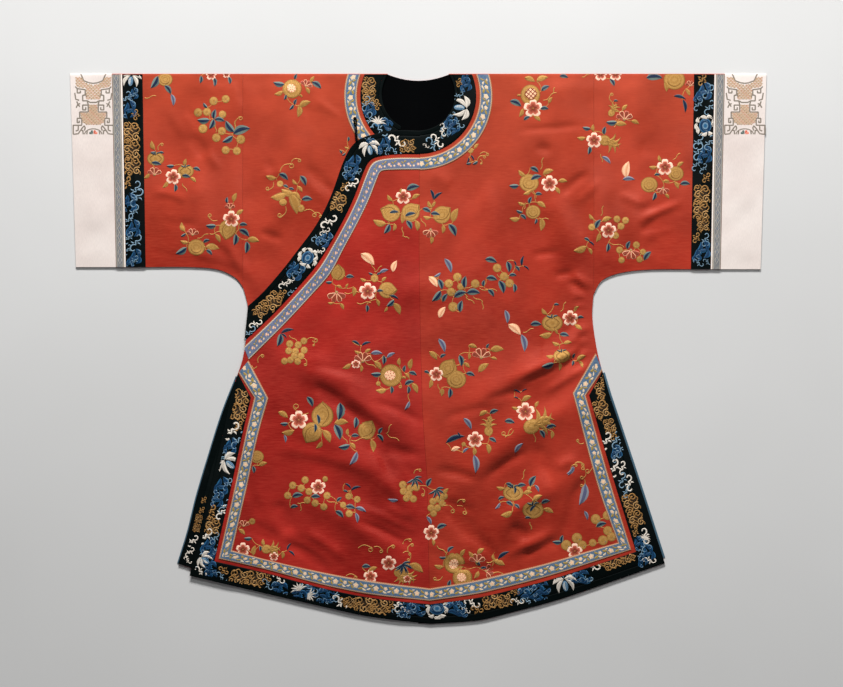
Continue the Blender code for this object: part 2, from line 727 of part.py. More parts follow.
def beside(points, offset):
    """The run of points moved to its left by the offset, seen from above."""
    moved = []
    for k, point in enumerate(points):
        before, after = points[max(k - 1, 0)], points[min(k + 1, len(points) - 1)]
        run_x, run_d = after[0] - before[0], after[1] - before[1]
        length = math.hypot(run_x, run_d)
        moved.append((point[0] + run_d / length * offset, point[1] - run_x / length * offset))
    return moved


def add_underlap_trim():
    edge = underlap_slit()
    for name, near, far, slot in (
            ("underlap_binding", 0.0, UNDERLAP_BINDING - GAP, "binding"),
            ("underlap_band", UNDERLAP_BINDING, UNDERLAP_BAND, "border")):
        outline = beside(edge, near) + list(reversed(beside(edge, far)))
        cut = ((0.0, edge[0][1] + far * UNDERLAP_TOP_SLANT), (0.0, -1.0))
        low = ((edge[-1][0], edge[-1][1] - MERGED), UNDERLAP_CORNER_RUN)
        sheet(name, outline, on_front, slot, thick=TRIM, ends=[cut, low])


def add_lining_edges():
    """Narrow blue edges of the back's lining, which show beyond both slits."""
    corner = BORDER_LEFT[BORDER_LEFT_CORNERS[0]]
    skirt = left_skirt()
    last = min(range(len(skirt)), key=lambda k: math.dist(skirt[k], corner[:2]))
    for side, line, outward in (("left", skirt[:last], 1), ("right", underlap_slit(), -1)):
        far = beside(line, outward * LINING_SHOWS[side])
        outline = beside(line, outward * GAP) + list(reversed(far))
        sheet("lining_edge_" + side, outline, back_height, "lining")


def back_height(across, drop):
    return BACK_LEVEL


# Button and loop

def swept_ring(path, radius, sides):
    """Closed tube round a closed path."""
    body = bmesh.new()
    count = len(path)
    rings = []
    for k, place in enumerate(path):
        before, after = np.array(path[k - 1]), np.array(path[(k + 1) % count])
        run = (after - before) / np.linalg.norm(after - before)
        out = np.cross(run, (0.0, 0.0, 1.0))
        out /= np.linalg.norm(out)
        up = np.cross(out, run)
        ring = []
        for s in range(sides):
            turn = 2 * math.pi * s / sides
            point = np.array(place) + radius * (out * math.cos(turn) + up * math.sin(turn))
            ring.append(body.verts.new([c * MM for c in point]))
        rings.append(ring)
    for k in range(count):
        here, there = rings[k], rings[(k + 1) % count]
        for s in range(sides):
            t = (s + 1) % sides
            body.faces.new([here[s], here[t], there[t], there[s]])
    if body.calc_volume(signed=True) < 0:
        bmesh.ops.reverse_faces(body, faces=body.faces[:])
    return body


def add_button_loop():
    """Cord loop from the corner of the flap, laid round the button's stem."""
    low = on_overlap(*LOOP_END) + TRIM + GAP + LOOP_CORD
    high = on_front(*BUTTON_AT) + TRIM + GAP + LOOP_CORD
    length = math.dist(LOOP_END, BUTTON_AT)
    lean = math.atan2(LOOP_END[0] - BUTTON_AT[0], LOOP_END[1] - BUTTON_AT[1])
    path = []
    for k in range(LOOP_POINTS):
        turn = 2 * math.pi * k / LOOP_POINTS
        along = (math.cos(turn) * 0.5 + 0.5) * (length + LOOP_EYE) - LOOP_EYE
        wide = LOOP_EYE + (LOOP_NARROW - LOOP_EYE) * smoothstep(along / LOOP_EYE_RUN)
        off = wide * math.copysign(abs(math.sin(turn)) ** LOOP_ROUNDNESS, math.sin(turn))
        across = BUTTON_AT[0] + along * math.sin(lean) + off * math.cos(lean)
        drop = BUTTON_AT[1] + along * math.cos(lean) - off * math.sin(lean)
        z = high + (low - high) * smoothstep(along / length)
        path.append((across, FOLD_Y - drop, z))
    return finished("button_loop", swept_ring(path, LOOP_CORD, CORD_SIDES), "cord", smooth=True)


def add_button():
    """Knotted ball on a short stem that comes up through the loop."""
    foot = on_front(*BUTTON_AT) + TRIM + GAP
    middle = foot + 2 * LOOP_CORD + 2 * GAP + BUTTON_RADIUS
    neck = math.asin(STEM_RADIUS / BUTTON_RADIUS)
    profile = [(0.0, foot), (STEM_RADIUS, foot)]
    for k in range(KNOT_STEPS):
        turn = neck + (math.pi - neck) * k / KNOT_STEPS
        profile.append((BUTTON_RADIUS * math.sin(turn), middle - BUTTON_RADIUS * math.cos(turn)))
    profile.append((0.0, middle + BUTTON_RADIUS))
    body = bmesh.new()
    line = [body.verts.new((BUTTON_AT[0] + r, FOLD_Y - BUTTON_AT[1], z)) for r, z in profile]
    edges = [body.edges.new(pair) for pair in zip(line, line[1:])]
    bmesh.ops.spin(body, geom=line + edges, axis=(0, 0, 1), steps=KNOT_SIDES, angle=2 * math.pi,
                   cent=(BUTTON_AT[0], FOLD_Y - BUTTON_AT[1], 0.0))
    bmesh.ops.remove_doubles(body, verts=body.verts[:], dist=0.01)
    bmesh.ops.scale(body, vec=(MM, MM, MM), verts=body.verts[:])
    bmesh.ops.recalc_face_normals(body, faces=body.faces[:])
    return finished("button_knot", body, "cord", smooth=True)


def main():
    clear_scene()
    add_body_left()
    add_body_right()
    add_front_overlap()
    add_sleeves()
    add_sleeve_trim()
    add_neck_trim()
    add_flap_trim()
    add_skirt_trim()
    add_underlap_trim()
    add_lining_edges()
    add_button_loop()
    add_button()


main()
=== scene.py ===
"""Looks of the ao short robe: silk, borders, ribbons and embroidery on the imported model.

Pattern points are (across, drop) in millimetres: across from the centre line,
drop below the shoulder fold.  "left" and "right" are the wearer's, so the
wearer's left is at +X.  Cloth is laid as in the model: a flat pattern point is
lifted by one shared height field, so layers stay parallel.
"""
import math
from collections import namedtuple

import bpy
import numpy as np
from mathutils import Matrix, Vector


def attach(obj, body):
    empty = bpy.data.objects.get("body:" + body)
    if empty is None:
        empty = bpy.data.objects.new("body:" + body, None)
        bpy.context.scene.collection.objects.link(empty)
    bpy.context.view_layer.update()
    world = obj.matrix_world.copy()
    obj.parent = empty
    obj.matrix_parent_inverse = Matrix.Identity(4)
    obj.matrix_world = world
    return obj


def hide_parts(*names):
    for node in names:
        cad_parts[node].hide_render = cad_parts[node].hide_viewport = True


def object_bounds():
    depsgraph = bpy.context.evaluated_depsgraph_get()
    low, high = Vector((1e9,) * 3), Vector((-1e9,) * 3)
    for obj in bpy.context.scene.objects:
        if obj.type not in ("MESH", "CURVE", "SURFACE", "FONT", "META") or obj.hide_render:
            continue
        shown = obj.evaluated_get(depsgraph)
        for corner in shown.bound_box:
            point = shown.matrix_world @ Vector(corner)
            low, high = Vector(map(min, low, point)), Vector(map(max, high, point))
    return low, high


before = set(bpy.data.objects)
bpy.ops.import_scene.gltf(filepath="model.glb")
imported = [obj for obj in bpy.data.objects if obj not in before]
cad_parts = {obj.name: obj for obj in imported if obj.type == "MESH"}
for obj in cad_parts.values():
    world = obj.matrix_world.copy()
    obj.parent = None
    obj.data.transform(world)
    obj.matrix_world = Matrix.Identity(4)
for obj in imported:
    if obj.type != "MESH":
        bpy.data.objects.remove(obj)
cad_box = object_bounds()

MM = 0.001
TINY = 1e-9                 # lengths below this count as nothing
PIXEL = 1.9                 # millimetres of cloth for each pixel of the photograph
PIXEL_AXIS = 418.3          # column of the centre line
PIXEL_FOLD = 74.0           # row of the shoulder fold

# Sizes shared with the model, in millimetres
CUFF_REACH = 661.0          # centre line to the edge of a cuff at the shoulder
HEM_DROP = 1044.6
BACK_HEM_RISE = 0.6         # the back's hem at the centre line is this far above the front's
SLEEVE_SEAM = 333.0
SLEEVE_DROP = 369.0
WALL = 1.2                  # thickness of the cloth
GAP = 0.3                   # between layers, and between panels side by side
TRIM = 1.0                  # thickness of bindings, bands and ribbons
FOLD_HALF = 1.0             # drop at which front and back leave the shoulder fold
FOLD_STEPS = 6
FOLD_Y = cad_box[1].y / MM - WALL - GAP / 2 + FOLD_HALF
FRONT_LEVEL = WALL + GAP
OVERLAP_RISE = WALL + GAP
TRIM_RISE = TRIM + GAP
NECK_HOLE_RADIUS = 69.0
NECK_HOLE_DROP = 39.0
NECK_RING_DROP = 42.0
NECK_BINDING_OUT = 75.0
NECK_TUCK = 0.4             # the cloth's edge at the neck goes this far under the binding
BINDING_GAP = 0.05          # between a binding and the band beside it
UNDER_TUCK = 8.0            # hidden edge of the underlap, back from the end of the binding
NECK_BAND_OUT = 110.0
NECK_RIBBON_IN = 116.5
NECK_RIBBON_OUT = 141.0
NECK_SCOOP = 12.0
UNDER_EDGE = -33.0
UNDER_EDGE_LOW = 1035.5
SEAM = [(3.0, 106.0), (3.0, 150.0), (2.0, 184.0), (1.5, 330.0), (4.0, 500.0),
        (8.0, 640.0), (16.5, 765.0), (19.0, 880.0), (22.0, HEM_DROP)]
SLEEVE_BOTTOM = {
    "left": [(333.0, 418.0), (348.0, 393.0), (380.0, 379.0), (433.0, 372.0), (520.0, 371.0)],
    "right": [(333.0, 405.0), (346.0, 388.0), (379.0, 372.0), (432.0, 367.0), (520.0, 367.0)],
}
SIDE = {
    "left": [(333.0, 418.0), (330.0, 457.0), (335.0, 500.0), (342.0, 537.5), (350.5, 568.0)],
    "right": [(333.0, 405.0), (323.5, 441.0), (325.0, 489.0), (333.5, 543.0), (344.5, 575.0)],
}
CUFF_DROP = {"left": 371.0, "right": 367.0}
UNDERLAP_SLIT = [(344.5, 575.0), (371.0, 642.0), (396.7, 723.0), (420.7, 803.5),
                 (437.0, 869.6), (455.6, 930.0)]
UNDERLAP_HEM = [(455.6, 930.0), (434.0, 938.0), (346.0, 968.0), (261.0, 988.0),
                (154.0, 1013.0), (47.0, 1034.0), (0.0, 1039.0)]
Section = namedtuple("Section", "edge_x edge_drop band_x band_drop ribbon_x ribbon_drop")
BORDER = {
    "right": [
        Section(-344.5, 575.0, -341.5, 568.0, -322.0, 544.0),
        Section(-355.5, 614.7, -311.2, 614.7, -283.9, 615.6),
        Section(-371.0, 686.0, -326.4, 680.2, -303.4, 685.3),
        Section(-398.0, 800.0, -349.6, 790.8, -327.4, 796.1),
        Section(-434.0, 952.5, -378.7, 920.2, -352.5, 904.2),
        Section(-290.0, 986.5, -281.8, 942.6, -276.1, 924.5),
        Section(-195.0, 1008.4, -184.9, 969.2, -180.1, 946.2),
        Section(-95.0, 1030.0, -88.0, 988.6, -84.2, 962.7),
        Section(22.0, 1044.6, 22.0, 1000.7, 22.0, 976.6),
    ],
    "left": [
        Section(22.0, 1044.6, 22.0, 1000.7, 22.0, 976.6),
        Section(113.0, 1038.0, 107.7, 988.0, 104.9, 962.4),
        Section(165.0, 1026.0, 155.2, 977.6, 149.5, 951.9),
        Section(263.0, 999.5, 250.2, 952.9, 242.6, 929.1),
        Section(358.0, 967.5, 345.2, 922.5, 339.5, 900.6),
        Section(468.0, 929.0, 404.1, 903.5, 378.3, 889.8),
        Section(415.0, 766.0, 363.3, 771.4, 338.6, 777.1),
        Section(362.0, 607.0, 317.7, 610.7, 292.6, 606.1),
        Section(350.5, 568.0, 349.5, 564.0, 336.5, 530.0),
    ],
}
BORDER_CORNERS = {"right": (1, 4), "left": (5, 7)}
BINDING_SHARE = 0.27        # shares of the way from the border's edge to the next point
BAND_SHARE = 0.86
UNDERLAP_BAND = 40.0
UNDERLAP_BINDING = 12.0
UNDERLAP_TOP_SLANT = 0.8
LINING_SHOWS = {"left": 4.2, "right": 2.6}
SHARE_GAP = 0.0005          # each side of the line between binding and band, as a share
Flap = namedtuple("Flap", "edge_x edge_drop ribbon_x ribbon_drop")
FLAP = [
    Flap(8.0, 108.0, 8.0, 182.0),
    Flap(-44.7, 107.9, -38.0, 182.5),
    Flap(-96.0, 118.5, -66.0, 184.0),
    Flap(-122.0, 132.5, -73.5, 188.5),
    Flap(-140.4, 162.6, -79.0, 202.0),
    Flap(-160.9, 219.6, -95.0, 243.0),
    Flap(-176.5, 256.1, -115.0, 284.0),
    Flap(-197.8, 293.4, -141.0, 332.0),
    Flap(-229.7, 336.1, -167.0, 380.0),
    Flap(-258.6, 373.5, -200.0, 418.0),
    Flap(-302.0, 422.0, -254.0, 476.0),
    Flap(-360.0, 470.0, -321.0, 543.0),
]
FLAP_BINDING_SHARE = 0.14
FLAP_BAND_SHARE = 0.6
FLAP_RIBBON_SHARE = 0.69
FLAP_END = [(-322.5, 435.0), (-333.5, 543.0)]
OVERLAP_CORNER = (-324.0, 441.0)
SLEEVE_TRIM = [
    # name, look, inner edge at top and bottom, outer edge at top and bottom
    ("sleeve_band_", "black", (523.5, 517.5), (562.0, 555.0)),
    ("sleeve_piping_", "piping", (562.3, 555.3), (565.2, 558.2)),
    ("sleeve_ribbon_", "sleeve_ribbon", (565.5, 558.5), (581.5, 573.5)),
]
CUFF_SEAM = (582.0, 574.0)
CUFF_EDGE = (CUFF_REACH, 650.0)
LIFT_FULL = 90.0            # this near to the underlap's slit, the overlap lies on its trim
LIFT_NONE = 135.0
LEVEL_RUN = 38.0            # the overlap climbs on to the underlap over this distance

# Folds, as in the model: across and drop of both ends, how far the middle bows
# up towards the shoulder, half width, height
Ridge = namedtuple("Ridge", "x0 drop0 x1 drop1 bow reach height")
RIDGES = [
    Ridge(-318.0, 372.0, -245.0, 205.0, 0.0, 24.0, 5.0),
    Ridge(-348.0, 350.0, -338.0, 165.0, 0.0, 22.0, 4.5),
    Ridge(-388.0, 330.0, -430.0, 190.0, 0.0, 22.0, 3.5),
    Ridge(318.0, 385.0, 250.0, 225.0, 0.0, 24.0, 5.0),
    Ridge(350.0, 350.0, 352.0, 175.0, 0.0, 22.0, 4.0),
    Ridge(392.0, 335.0, 440.0, 200.0, 0.0, 22.0, 3.5),
    Ridge(-150.0, 425.0, 130.0, 400.0, 0.0, 26.0, 3.0),
    Ridge(-290.0, 525.0, 18.0, 725.0, 30.0, 26.0, 7.0),
    Ridge(-275.0, 655.0, 10.0, 850.0, 30.0, 26.0, 7.5),
    Ridge(-270.0, 785.0, 0.0, 960.0, 25.0, 26.0, 6.5),
    Ridge(335.0, 515.0, 45.0, 690.0, 25.0, 24.0, 7.0),
    Ridge(340.0, 615.0, 60.0, 800.0, 25.0, 26.0, 7.5),
    Ridge(335.0, 735.0, 110.0, 920.0, 20.0, 26.0, 7.0),
]
RIDGE_END = 0.3             # a fold starts this share of its half width before its end
RIDGE_TAPER = 0.35          # share of a fold's length over which it rises
EDGE_FLAT = 10.0            # no folds nearer than this to the cloth's edge
EDGE_RISE = 95.0
NECK_FLAT = 190.0           # none nearer than this to the middle of the neck
NECK_RISE = 70.0
SLEEVE_FLAT = 472.0         # none further out than this on the sleeves
SLEEVE_RISE = 70.0

# Smaller creases over the folds, listed one by one: rows and columns of the
# photograph for both ends, bow, half width and height in millimetres
Crease = namedtuple("Crease", "px0 py0 px1 py1 bow reach height")
CREASES = [Crease(*row) for row in (
    (536, 444, 553, 492, 4, 12, -3.4), (510, 524, 530, 538, 0, 10, -3.4),
    (446, 506, 474, 540, 0, 13, -3.2), (440, 565, 512, 571, 0, 6, -2.2),
    (556, 468, 574, 458, 0, 9, 2.4), (522, 548, 550, 542, 0, 9, 2.4),
    (277, 500, 292, 534, 0, 12, -3.2), (312, 384, 346, 404, 0, 10, -3.0),
    (362, 446, 426, 456, 0, 10, -2.6), (385, 505, 410, 520, 0, 10, 2.6),
    (240, 470, 262, 520, 0, 10, -1.8), (562, 195, 590, 172, 4, 6, -2.4),
    (574, 206, 600, 180, 0, 8, 1.6), (637, 232, 690, 208, 2, 7, -3.0),
    (644, 246, 690, 232, 2, 7, -2.6), (636, 222, 684, 200, 0, 7, 2.0),
    (618, 194, 646, 206, 0, 6, 1.8), (536, 148, 552, 150, 0, 9, -2.0),
    (640, 147, 664, 150, 0, 9, -2.0), (511, 131, 593, 125, 0, 6, -1.2),
    (530, 255, 562, 252, 0, 6, -1.8), (554, 276, 574, 272, 0, 6, -2.0),
    (568, 280, 592, 298, 0, 6, -3.2), (572, 274, 594, 290, 0, 6, 2.2),
    (572, 302, 594, 301, 0, 6, -2.6), (570, 311, 594, 310, 0, 6, -2.6),
    (570, 322, 596, 320, 0, 6, -2.4), (574, 337, 598, 334, 0, 6, -3.0),
    (578, 346, 598, 350, 0, 6, -3.0), (190, 136, 206, 158, 2, 9, -2.8),
    (206, 150, 220, 170, 0, 8, 1.6), (156, 131, 164, 134, 0, 7, -1.6),
    (158, 198, 182, 214, 3, 9, -2.8), (150, 190, 190, 200, 0, 8, 1.4),
    (214, 74, 216, 84, 0, 9, -1.6), (240, 76, 243, 110, 0, 6, -1.4),
    (164, 222, 200, 225, 0, 6, -1.6), (150, 250, 186, 262, 0, 6, -2.0),
    (190, 252, 220, 262, 0, 6, 1.6), (258, 232, 284, 240, 0, 7, -1.6),
    (262, 176, 290, 172, 0, 10, 1.4), (268, 158, 280, 190, 0, 9, -1.4),
    (300, 104, 346, 146, 0, 8, -1.6), (312, 98, 345, 120, 0, 8, 1.0),
    (304, 164, 338, 196, 0, 7, -1.6), (296, 172, 330, 206, 0, 9, 1.2),
    (180, 98, 204, 131, 0, 8, -1.1), (166, 108, 188, 140, 0, 9, 0.9),
    (245, 222, 247, 272, 0, 7, -2.0), (224, 232, 246, 290, 0, 9, 1.8),
    (205, 240, 236, 262, 0, 8, -1.2), (396, 177, 416, 177, 0, 6, -1.2),
    (430, 172, 452, 186, 0, 14, 1.4), (482, 176, 500, 250, 4, 16, 1.4),
    (634, 212, 682, 198, 0, 7, -1.6), (636, 232, 684, 218, 0, 7, -1.6),
    (640, 252, 684, 240, 0, 7, -1.4), (640, 150, 676, 150, 0, 8, -1.2),
    (560, 195, 585, 176, 0, 8, -1.0), (556, 374, 592, 340, 0, 6, -2.4),
    (572, 370, 598, 348, 0, 6, -2.0), (500, 386, 594, 345, 3, 8, 2.2),
    (540, 396, 592, 364, 2, 7, 2.2), (480, 402, 532, 388, 2, 7, -2.0),
    (520, 384, 560, 366, 0, 6, -1.4), (560, 350, 596, 322, 0, 6, 1.6),
    (556, 338, 590, 315, 0, 6, -1.2), (318, 394, 372, 430, 6, 8, -3.2),
    (370, 428, 392, 482, 4, 8, -3.0), (370, 400, 424, 424, 4, 8, -2.4),
    (300, 364, 362, 376, 3, 9, -1.6), (340, 388, 400, 440, 5, 8, 2.2),
    (270, 446, 380, 474, 6, 12, 1.8), (380, 474, 420, 530, 6, 11, 2.2),
    (352, 518, 412, 547, 3, 6, -3.4), (350, 504, 420, 534, 4, 7, 2.4),
    (282, 541, 332, 572, 4, 8, -3.0), (300, 528, 348, 562, 5, 9, 2.2),
    (242, 522, 284, 542, 0, 12, -2.2), (392, 440, 412, 482, 3, 7, -1.4),
    (432, 470, 482, 482, -5, 8, -2.6), (482, 482, 532, 450, -6, 8, -2.6),
    (590, 468, 562, 540, 6, 9, -2.8), (562, 540, 518, 558, 4, 8, -2.8),
    (572, 446, 590, 520, 0, 12, 1.8), (500, 560, 562, 528, -4, 8, 2.2),
    (458, 518, 492, 552, 0, 8, -3.0), (440, 500, 476, 512, 0, 7, -2.2),
    (440, 420, 500, 404, 3, 8, -1.6), (500, 520, 552, 492, -4, 8, 1.8),
    (430, 540, 456, 560, 0, 7, 1.6), (480, 540, 502, 562, 0, 6, -1.8),
)]
CREASE_SIZE = 1.7           # creases are this many times as high as their rows say
CREASE_FLAT = 3.0           # creases start this far in from the cloth's edge
CREASE_RISE = 30.0
PUFF = 3.0                  # air under the cloth away from its edges, room for the troughs
LOWEST = 0.2                # the front cloth stays this close above the cloth below it
WAVE_HEIGHT = 1.1           # slight unevenness of cloth that lies flat
WAVE_LENGTH = 140.0
WAVE_PHASE = 7
WAVES = [(0.4, 1.0), (1.3, 0.73), (2.2, 0.61), (2.9, 0.47), (0.9, 0.31)]     # turn and size

# How finely things are divided, in millimetres or steps
CELL = 6.0                  # cells of the cloth panels
FIELD_CELL = 2.5            # cells of the height fields
FIELD_MARGIN = 15.0
OUTLINE_STEP = 20.0
HEM_STEP = 10.0
COARSE_STEP = 40.0
STRIP_STEP = 5.0
NECK_STEPS = 60
NECK_TRIM_STEPS = 44
SLEEVE_TRIM_POINTS = 75
SCOOP_POINTS = 13
TURNS_TRIED = 400
HEM_CLEAR = 5.0             # no hem point nearer than this to the underlap's hidden edge
CORNER_CLEAR = 3.0          # no flap point nearer than this above the overlap's corner
OVERLAP_WIDTH = 350.0       # rough size, for the number of its cells
OVERLAP_LENGTH = 900.0
LEAST_COLUMNS = 8
SHARP = math.radians(50)    # edges that turn by more than this stay sharp
CORD_WIDTH = 0.0035         # metres: anything narrower is a cord-like piping
STRIP_UV = 100.0            # millimetres along a strip for one unit of its coordinates
STITCH_UV = 10.0            # millimetres on stitches for one unit of theirs

# Camera
PHOTO_CENTRE = (421.5, 343.5)
PHOTO_WIDTH = 843
LENS = 85.0
SENSOR = 36.0


# Geometry in the flat pattern

def smoothstep(value):
    value = np.clip(value, 0.0, 1.0)
    return value * value * (3.0 - 2.0 * value)


def through(rows, step=OUTLINE_STEP, corners=()):
    """Points of a smooth curve through the rows, which stays sharp at corners."""
    table = np.array(rows, dtype=float)
    last = len(table) - 1
    spans = [float(np.linalg.norm(table[i + 1][:2] - table[i][:2])) for i in range(last)]
    curve = [table[0]]
    for i in range(last):
        here, after = table[i], table[i + 1]
        leave = (after - here) / spans[i]
        arrive = leave
        if i > 0 and i not in corners:
            leave = (after - table[i - 1]) / (spans[i] + spans[i - 1])
        if i + 1 < last and i + 1 not in corners:
            arrive = (table[i + 2] - here) / (spans[i] + spans[i + 1])
        parts = max(1, round(spans[i] / step))
        for k in range(1, parts + 1):
            t = k / parts
            curve.append(
                here * (2 * t**3 - 3 * t**2 + 1) + leave * spans[i] * (t**3 - 2 * t**2 + t)
                + after * (3 * t**2 - 2 * t**3) + arrive * spans[i] * (t**3 - t**2)
            )
    return np.array(curve)


def pairs(first, second):
    """Points from their two coordinates."""
    return np.stack([first, second], axis=-1)


def flipped(points):
    return np.array(points, dtype=float) * (-1.0, 1.0)


def lengths_along(points):
    steps = np.linalg.norm(np.diff(points, axis=0), axis=1)
    return np.concatenate([[0.0], np.cumsum(steps)])


def resample(points, count):
    """The same line with evenly spaced points, count steps."""
    points = np.array(points, dtype=float)
    along = lengths_along(points[:, :2])
    wanted = np.linspace(0.0, along[-1], count + 1)
    return np.stack([np.interp(wanted, along, column) for column in points.T], axis=1)


def stretches(lines, count):
    """Lines joined end to end, resampled so that the joins stay points."""
    sizes = [lengths_along(np.array(line, dtype=float))[-1] for line in lines]
    total = sum(sizes)
    parts = [max(1, round(count * size / total)) for size in sizes]
    parts[int(np.argmax(sizes))] += count - sum(parts)
    pieces = [resample(line, part) for line, part in zip(lines, parts)]
    return np.concatenate([pieces[0]] + [piece[1:] for piece in pieces[1:]])


def coons(top, bottom, left, right):
    """Grid of points between four lines: rows from top to bottom."""
    u = np.linspace(0.0, 1.0, len(top))[None, :, None]
    v = np.linspace(0.0, 1.0, len(left))[:, None, None]
    ruled = (1 - v) * top[None] + v * bottom[None] + (1 - u) * left[:, None] + u * right[:, None]
    corners = ((1 - u) * (1 - v) * top[0] + u * (1 - v) * top[-1]
               + (1 - u) * v * bottom[0] + u * v * bottom[-1])
    return ruled - corners


def beside(points, offset):
    """The run of points moved sideways, as in the model."""
    points = np.array(points, dtype=float)
    run = np.gradient(points, axis=0)
    run /= np.linalg.norm(run, axis=1)[:, None]
    return points + offset * pairs(run[:, 1], -run[:, 0])


def sleeve_line(top, bottom, drop):
    return top + (bottom - top) * drop / SLEEVE_DROP


def side_points(side):
    return through(SIDE[side])


def border_rows(side, step=STRIP_STEP):
    return through(BORDER[side], step, BORDER_CORNERS[side])


def underlap_slit(step=OUTLINE_STEP):
    return flipped(through(UNDERLAP_SLIT, step))


def front_outline():
    left = through(SLEEVE_BOTTOM["left"])[::-1]
    right = flipped(through(SLEEVE_BOTTOM["right"]))
    reach = sleeve_line(*CUFF_EDGE, SLEEVE_DROP)
    lines = [
        [(-CUFF_REACH, 0.0), (CUFF_REACH, 0.0), (reach, CUFF_DROP["left"])],
        left,
        side_points("left")[1:],
        border_rows("left", COARSE_STEP)[::-1][1:, :2],
        border_rows("right", COARSE_STEP)[::-1][1:, :2],
        flipped(side_points("right"))[::-1][1:],
        right[1:],
        [(-reach, CUFF_DROP["right"]), (-CUFF_REACH, 0.0)],
    ]
    return np.concatenate([np.array(line, dtype=float) for line in lines])


# Heights

def distance_to(points, across, drop):
    nearest = np.full(across.shape, np.inf)
    for (x0, d0), (x1, d1) in zip(points[:-1], points[1:]):
        run_x, run_d = x1 - x0, d1 - d0
        size = run_x * run_x + run_d * run_d
        if size < TINY:
            continue
        share = np.clip(((across - x0) * run_x + (drop - d0) * run_d) / size, 0.0, 1.0)
        away = np.hypot(across - x0 - share * run_x, drop - d0 - share * run_d)
        nearest = np.minimum(nearest, away)
    return nearest


def inside(points, across, drop):
    hit = np.zeros(across.shape, dtype=bool)
    for (x0, d0), (x1, d1) in zip(points[:-1], points[1:]):
        if d0 != d1:
            crosses = (d0 > drop) != (d1 > drop)
            hit ^= crosses & (across < x0 + (drop - d0) * (x1 - x0) / (d1 - d0))
    return hit


def ridge_height(ridge, across, drop):
    run_x, run_d = ridge.x1 - ridge.x0, ridge.drop1 - ridge.drop0
    length = math.hypot(run_x, run_d)
    along = ((across - ridge.x0) * run_x + (drop - ridge.drop0) * run_d) / length
    off = ((across - ridge.x0) * run_d - (drop - ridge.drop0) * run_x) / length
    share = np.clip(along / length, 0.0, 1.0)
    off = off - math.copysign(ridge.bow, run_x) * 4.0 * share * (1.0 - share)
    beyond = RIDGE_END * ridge.reach
    taper = smoothstep((along + beyond) / (RIDGE_TAPER * length))
    taper = taper * smoothstep((length - along + beyond) / (RIDGE_TAPER * length))
    return ridge.height * taper * np.exp(-((off / ridge.reach) ** 2))


def from_photo(px, py):
    return (px - PIXEL_AXIS) * PIXEL, (py - PIXEL_FOLD) * PIXEL


def crease_height(crease, across, drop):
    start = from_photo(crease.px0, crease.py0)
    end = from_photo(crease.px1, crease.py1)
    ridge = Ridge(*start, *end, crease.bow, crease.reach, crease.height)
    return ridge_height(ridge, across, drop)


def gentle_wave(across, drop):
    """Slight unevenness of cloth that lies flat, a sum of slanting waves."""
    total = 0.0
    for turn, size in WAVES:
        place = across * math.cos(turn) + drop * math.sin(turn)
        total = total + size * np.sin(2 * math.pi * place / (WAVE_LENGTH * size) + WAVE_PHASE * turn)
    return WAVE_HEIGHT * total / 2


class Field:
    """A height in millimetres on a square grid, read between its points."""

    def __init__(self, height):
        self.low = np.array([-CUFF_REACH - FIELD_MARGIN, -FIELD_MARGIN])
        columns = int(2 * (CUFF_REACH + FIELD_MARGIN) / FIELD_CELL) + 2
        rows = int((HEM_DROP + 2 * FIELD_MARGIN) / FIELD_CELL) + 2
        across = self.low[0] + FIELD_CELL * np.arange(columns)
        drop = self.low[1] + FIELD_CELL * np.arange(rows)
        self.values = height(*np.meshgrid(across, drop))

    def __call__(self, across, drop):
        x = (np.asarray(across, dtype=float) - self.low[0]) / FIELD_CELL
        y = (np.asarray(drop, dtype=float) - self.low[1]) / FIELD_CELL
        i = np.clip(x.astype(int), 0, self.values.shape[1] - 2)
        j = np.clip(y.astype(int), 0, self.values.shape[0] - 2)
        u = np.clip(x - i, 0.0, 1.0)
        v = np.clip(y - j, 0.0, 1.0)
        grid = self.values
        upper = grid[j, i] * (1 - u) + grid[j, i + 1] * u
        lower = grid[j + 1, i] * (1 - u) + grid[j + 1, i + 1] * u
        return upper * (1 - v) + lower * v


def fold_height(across, drop):
    outline = front_outline()
    away = distance_to(outline, across, drop)
    within = inside(outline, across, drop)
    from_neck = np.hypot(across, drop - NECK_RING_DROP)
    rise = smoothstep((away - EDGE_FLAT) / EDGE_RISE)
    rise = rise * smoothstep((from_neck - NECK_FLAT) / NECK_RISE)
    rise = rise * smoothstep((SLEEVE_FLAT - np.abs(across)) / SLEEVE_RISE)
    large = rise * sum(ridge_height(ridge, across, drop) for ridge in RIDGES)
    small = CREASE_SIZE * sum(crease_height(crease, across, drop) for crease in CREASES)
    puff = PUFF * smoothstep((from_neck - NECK_FLAT) / NECK_RISE)
    puff = puff * smoothstep((SLEEVE_FLAT - np.abs(across)) / SLEEVE_RISE)
    small = small + gentle_wave(across, drop) + puff
    small = small * smoothstep((away - CREASE_FLAT) / CREASE_RISE)
    total = large + small
    low = np.minimum(total, 0.0)
    total = np.maximum(total, 0.0) - LOWEST * (1.0 - np.exp(low / LOWEST))
    return np.where(within, total, 0.0)


def overlap_height(across, drop):
    step = np.clip((SEAM[0][0] - across) / LEVEL_RUN, 0.0, 1.0)
    away = distance_to(flipped(UNDERLAP_SLIT), across, drop)
    lift = smoothstep((LIFT_NONE - away) / (LIFT_NONE - LIFT_FULL))
    return OVERLAP_RISE * step + TRIM_RISE * lift


FOLDS = Field(fold_height)
OVERLAP = Field(overlap_height)


def front_height(across, drop):
    """Underside of the front's cloth."""
    return FRONT_LEVEL + FOLDS(across, drop)


def over_height(across, drop):
    """Underside of the overlap."""
    return front_height(across, drop) + OVERLAP(across, drop)


def on_front(across, drop):
    return front_height(across, drop) + WALL + GAP


def on_overlap(across, drop):
    return over_height(across, drop) + WALL + GAP


def on_floor(across, drop):
    return np.zeros(np.shape(across))


